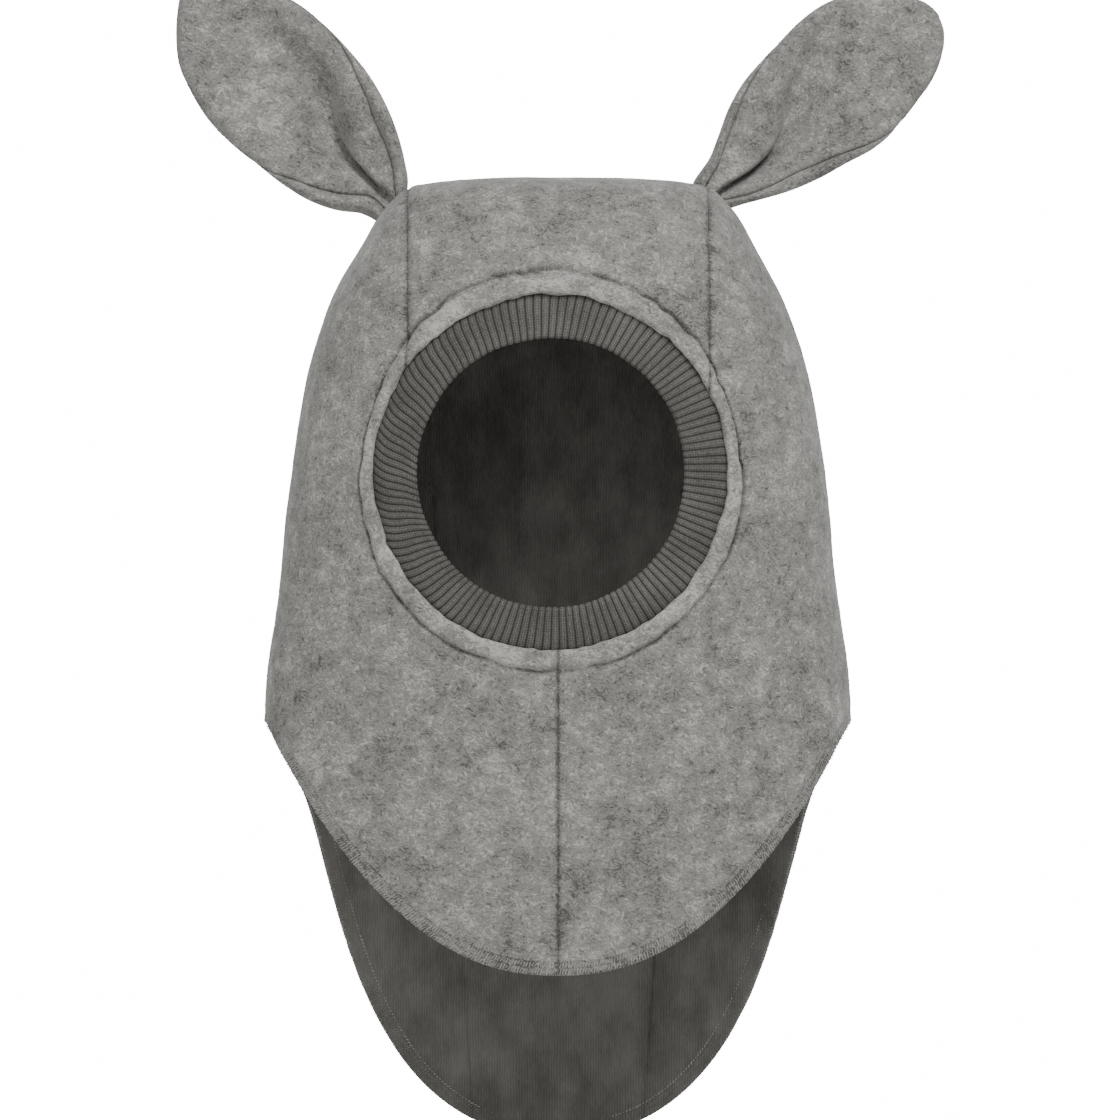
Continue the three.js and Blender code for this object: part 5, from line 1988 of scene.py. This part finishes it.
    def build_back(self) -> Piece:
        """The back ply: its rims on the front, round the silhouette, and the whole back."""
        d = self.distances()
        a, b = self.seams(d)
        upper, lower = self.outline(d)
        share = np.concatenate([np.linspace(0, 0.72, 9), 1 - 0.28 * np.cos(np.linspace(0, np.pi / 2, 9))[1:] ** 1.6])
        s = np.cos(np.linspace(0, np.pi, self.columns))[1:-1]
        whole = ((upper + lower) / 2)[:, None] + ((lower - upper) / 2)[:, None] * s
        parts = (self.rim(b, lower, 1, share), self.part(whole, False), self.rim(a, upper, -1, share[::-1]))
        return self.shell("wool_back", *zip(*parts), False)

    def shell(self, label: str, outer: Sequence[tuple], inner: Sequence[tuple], front: bool) -> Piece:
        """A closed ply from the measures of its two sides.

        Args:
            label: the ply's name.
            outer: the parts of the outer side, in order round the ear.
            inner: the parts of the inner side.
            front: whether it is the front ply.

        Returns:
            The ply.
        """
        sides = []
        for parts in (outer, inner):
            sides.append(self.to_world(*(np.concatenate([p[k] for p in parts], axis=1) for k in range(3))))
        rows, columns = sides[0].shape[:2]
        number = np.arange(rows * columns).reshape(rows, columns)
        quads = np.stack([number[:-1, :-1], number[:-1, 1:], number[1:, 1:], number[1:, :-1]], -1).reshape(-1, 4)
        if (self.pattern.side > 0) != front:
            quads = quads[:, ::-1]
        outside, inside = (s.reshape(-1, 3) for s in sides)
        piece = closed_shell(f"{self.pattern.name}_{label}", outside, inside, [tuple(map(int, q)) for q in quads])
        piece.data.materials.append(self.finishes.wool)
        return piece

    def sew_seams(self) -> Piece:
        """The stitches down in the two seams of the front."""
        d = np.linspace(0.5 * MM, self.tip() - 16 * MM, 160)
        style = StitchStyle(pitch=2.4 * MM, length=1.8 * MM, radius=0.12 * MM, rise=0.05 * MM)
        lines = []
        for across in self.seams(d):
            ahead = self.surface(d, across, True) - 1.6 * MM
            ups = np.tile(FORWARD, (len(d), 1))
            lines.append(self.sewing.line(self.to_world(d, across, ahead), ups, style, self.finishes.thread))
        name = self.pattern.name
        return self.sewing.piece(f"{name}_seam_stitches", lines, "", f"{name}_edge_seam_thread")

    def sew_tack(self) -> Piece:
        """The bar tack that holds the pleat shut at its foot."""
        across = self.read(self.pattern.fold, np.array([1.0 * MM]))[0] + np.linspace(-1.5, 1.5, 12) * MM
        d = np.full(len(across), 1.0 * MM)
        ahead = self.surface(d, across, True) + 0.05 * MM
        style = StitchStyle(pitch=0.5 * MM, length=1.4 * MM, radius=0.1 * MM, rise=0.1 * MM, slant=90)
        ups = np.tile(FORWARD, (len(d), 1))
        line = self.sewing.line(self.to_world(d, across, ahead), ups, style, self.finishes.thread)
        name = f"{self.pattern.name}_pleat_tack"
        return self.sewing.piece(name, [line], "", f"{name}_thread")

    def build(self) -> None:
        """Builds the ear's pieces and bends them into the hood at their foot."""
        name = self.pattern.name
        front, back = self.build_front(), self.build_back()
        for piece, label in ((front, "front_ply"), (back, "back_ply")):
            hand_in(piece, "", "wool", f"{name}_{label}")
        pieces = [front, back, self.sew_seams(), self.sew_tack()]
        ends = (np.array([0.0, self.bend_length]), np.full(2, 6 * MM), np.zeros(2))
        foot, free = self.to_world(*ends)
        for piece in pieces:
            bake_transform(piece, "hood", name, tuple(foot), tuple(free))


# The studio


@dataclass
class Studio:
    """A plain pale floor, soft lights and a long-lens camera straight in front."""

    form: HoodForm
    view_width: float = 448 * MM
    distance: float = 6.0
    centre_x: float = 0.8 * MM
    centre_z: float = -149.3 * MM
    sensor: float = 36.0
    glow: float = 16.0
    surround_light: float = 0.54
    aim: tuple[float, float, float] = (0, 0, -0.14)
    floor_size: float = 14.0
    floor_gap: float = 14 * MM

    def camera(self) -> None:
        """Places the camera."""
        data = bpy.data.cameras.new("camera")
        data.sensor_width = self.sensor
        data.lens = self.sensor * self.distance / self.view_width
        data.clip_start, data.clip_end = 0.1, 100.0
        made = new_object("camera", data)
        made.location = (self.centre_x, -self.distance, self.centre_z)
        made.rotation_euler = (math.pi / 2, 0, 0)
        bpy.context.scene.camera = made

    def light(self, name: str, place: Sequence[float], size: float, power: float) -> None:
        """A large soft lamp aimed at the hood."""
        data = bpy.data.lights.new(name, "AREA")
        data.shape, data.size, data.energy = "DISK", size, power
        made = new_object(name, data)
        made.location = place
        aim = Vector(self.aim) - Vector(place)
        made.rotation_euler = aim.to_track_quat("-Z", "Y").to_euler()

    def floor(self) -> None:
        """The pale floor under the hood, bright enough to the eye to run into the pale surround."""
        size, z = self.floor_size, self.form.wall - self.form.flap_drop - self.floor_gap
        corners = [(-size, -size, z), (size, -size, z), (size, size, z), (-size, size, z)]
        made = mesh_object("floor", corners, [(0, 1, 2, 3)])
        material = bpy.data.materials.new("Pale floor")
        n = fresh_nodes(material)
        plain = n.add("ShaderNodeBsdfDiffuse", {"Color": linear(236, 236, 235)})
        glow = n.add("ShaderNodeEmission", {"Color": (1, 1, 1, 1), "Strength": self.glow})
        n.end("ShaderNodeOutputMaterial", self.glowing(n, plain, glow))
        made.data.materials.append(material)

    def glowing(self, n: Nodes, plain: bpy.types.Node, glow: bpy.types.Node) -> Socket:
        """A shader that glows to the eye alone."""
        seen = n.add("ShaderNodeLightPath").outputs["Is Camera Ray"]
        return n.add("ShaderNodeMixShader", {0: seen, 1: plain.outputs[0], 2: glow.outputs[0]}).outputs[0]

    def surround(self) -> None:
        """The soft pale light that comes from all round."""
        world = bpy.data.worlds.new("pale surround")
        bpy.context.scene.world = world
        n = fresh_nodes(world)
        light, glow = (
            n.add("ShaderNodeBackground", {"Color": (1, 1, 1, 1), "Strength": strength})
            for strength in (self.surround_light, self.glow)
        )
        n.end("ShaderNodeOutputWorld", self.glowing(n, light, glow))

    def build(self) -> None:
        """Sets the whole studio up."""
        self.camera()
        self.light("key", (0.6, -1.2, 1.4), 0.9, 29.0)
        self.light("fill", (-0.3, -1.5, 0.62), 0.9, 8.0)
        self.light("behind", (-0.5, 1.7, 0.7), 1.2, 15.0)
        self.floor()
        self.surround()


def main() -> None:
    """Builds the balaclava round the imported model."""
    logging.basicConfig(level=logging.INFO, format="%(message)s")
    form = HoodForm.from_frame()
    Studio(form).build()
    finishes, sewing = Finishes(), Stitching()
    outer = OuterHood(form, finishes)
    outer.build()
    Lining(outer).build()
    FaceRib(form, finishes).build()
    HoodStitching(outer, sewing).build()
    for pattern in (LEFT_EAR, RIGHT_EAR):
        Ear(form, finishes, sewing, pattern).build()


if __name__ == "__main__":
    main()
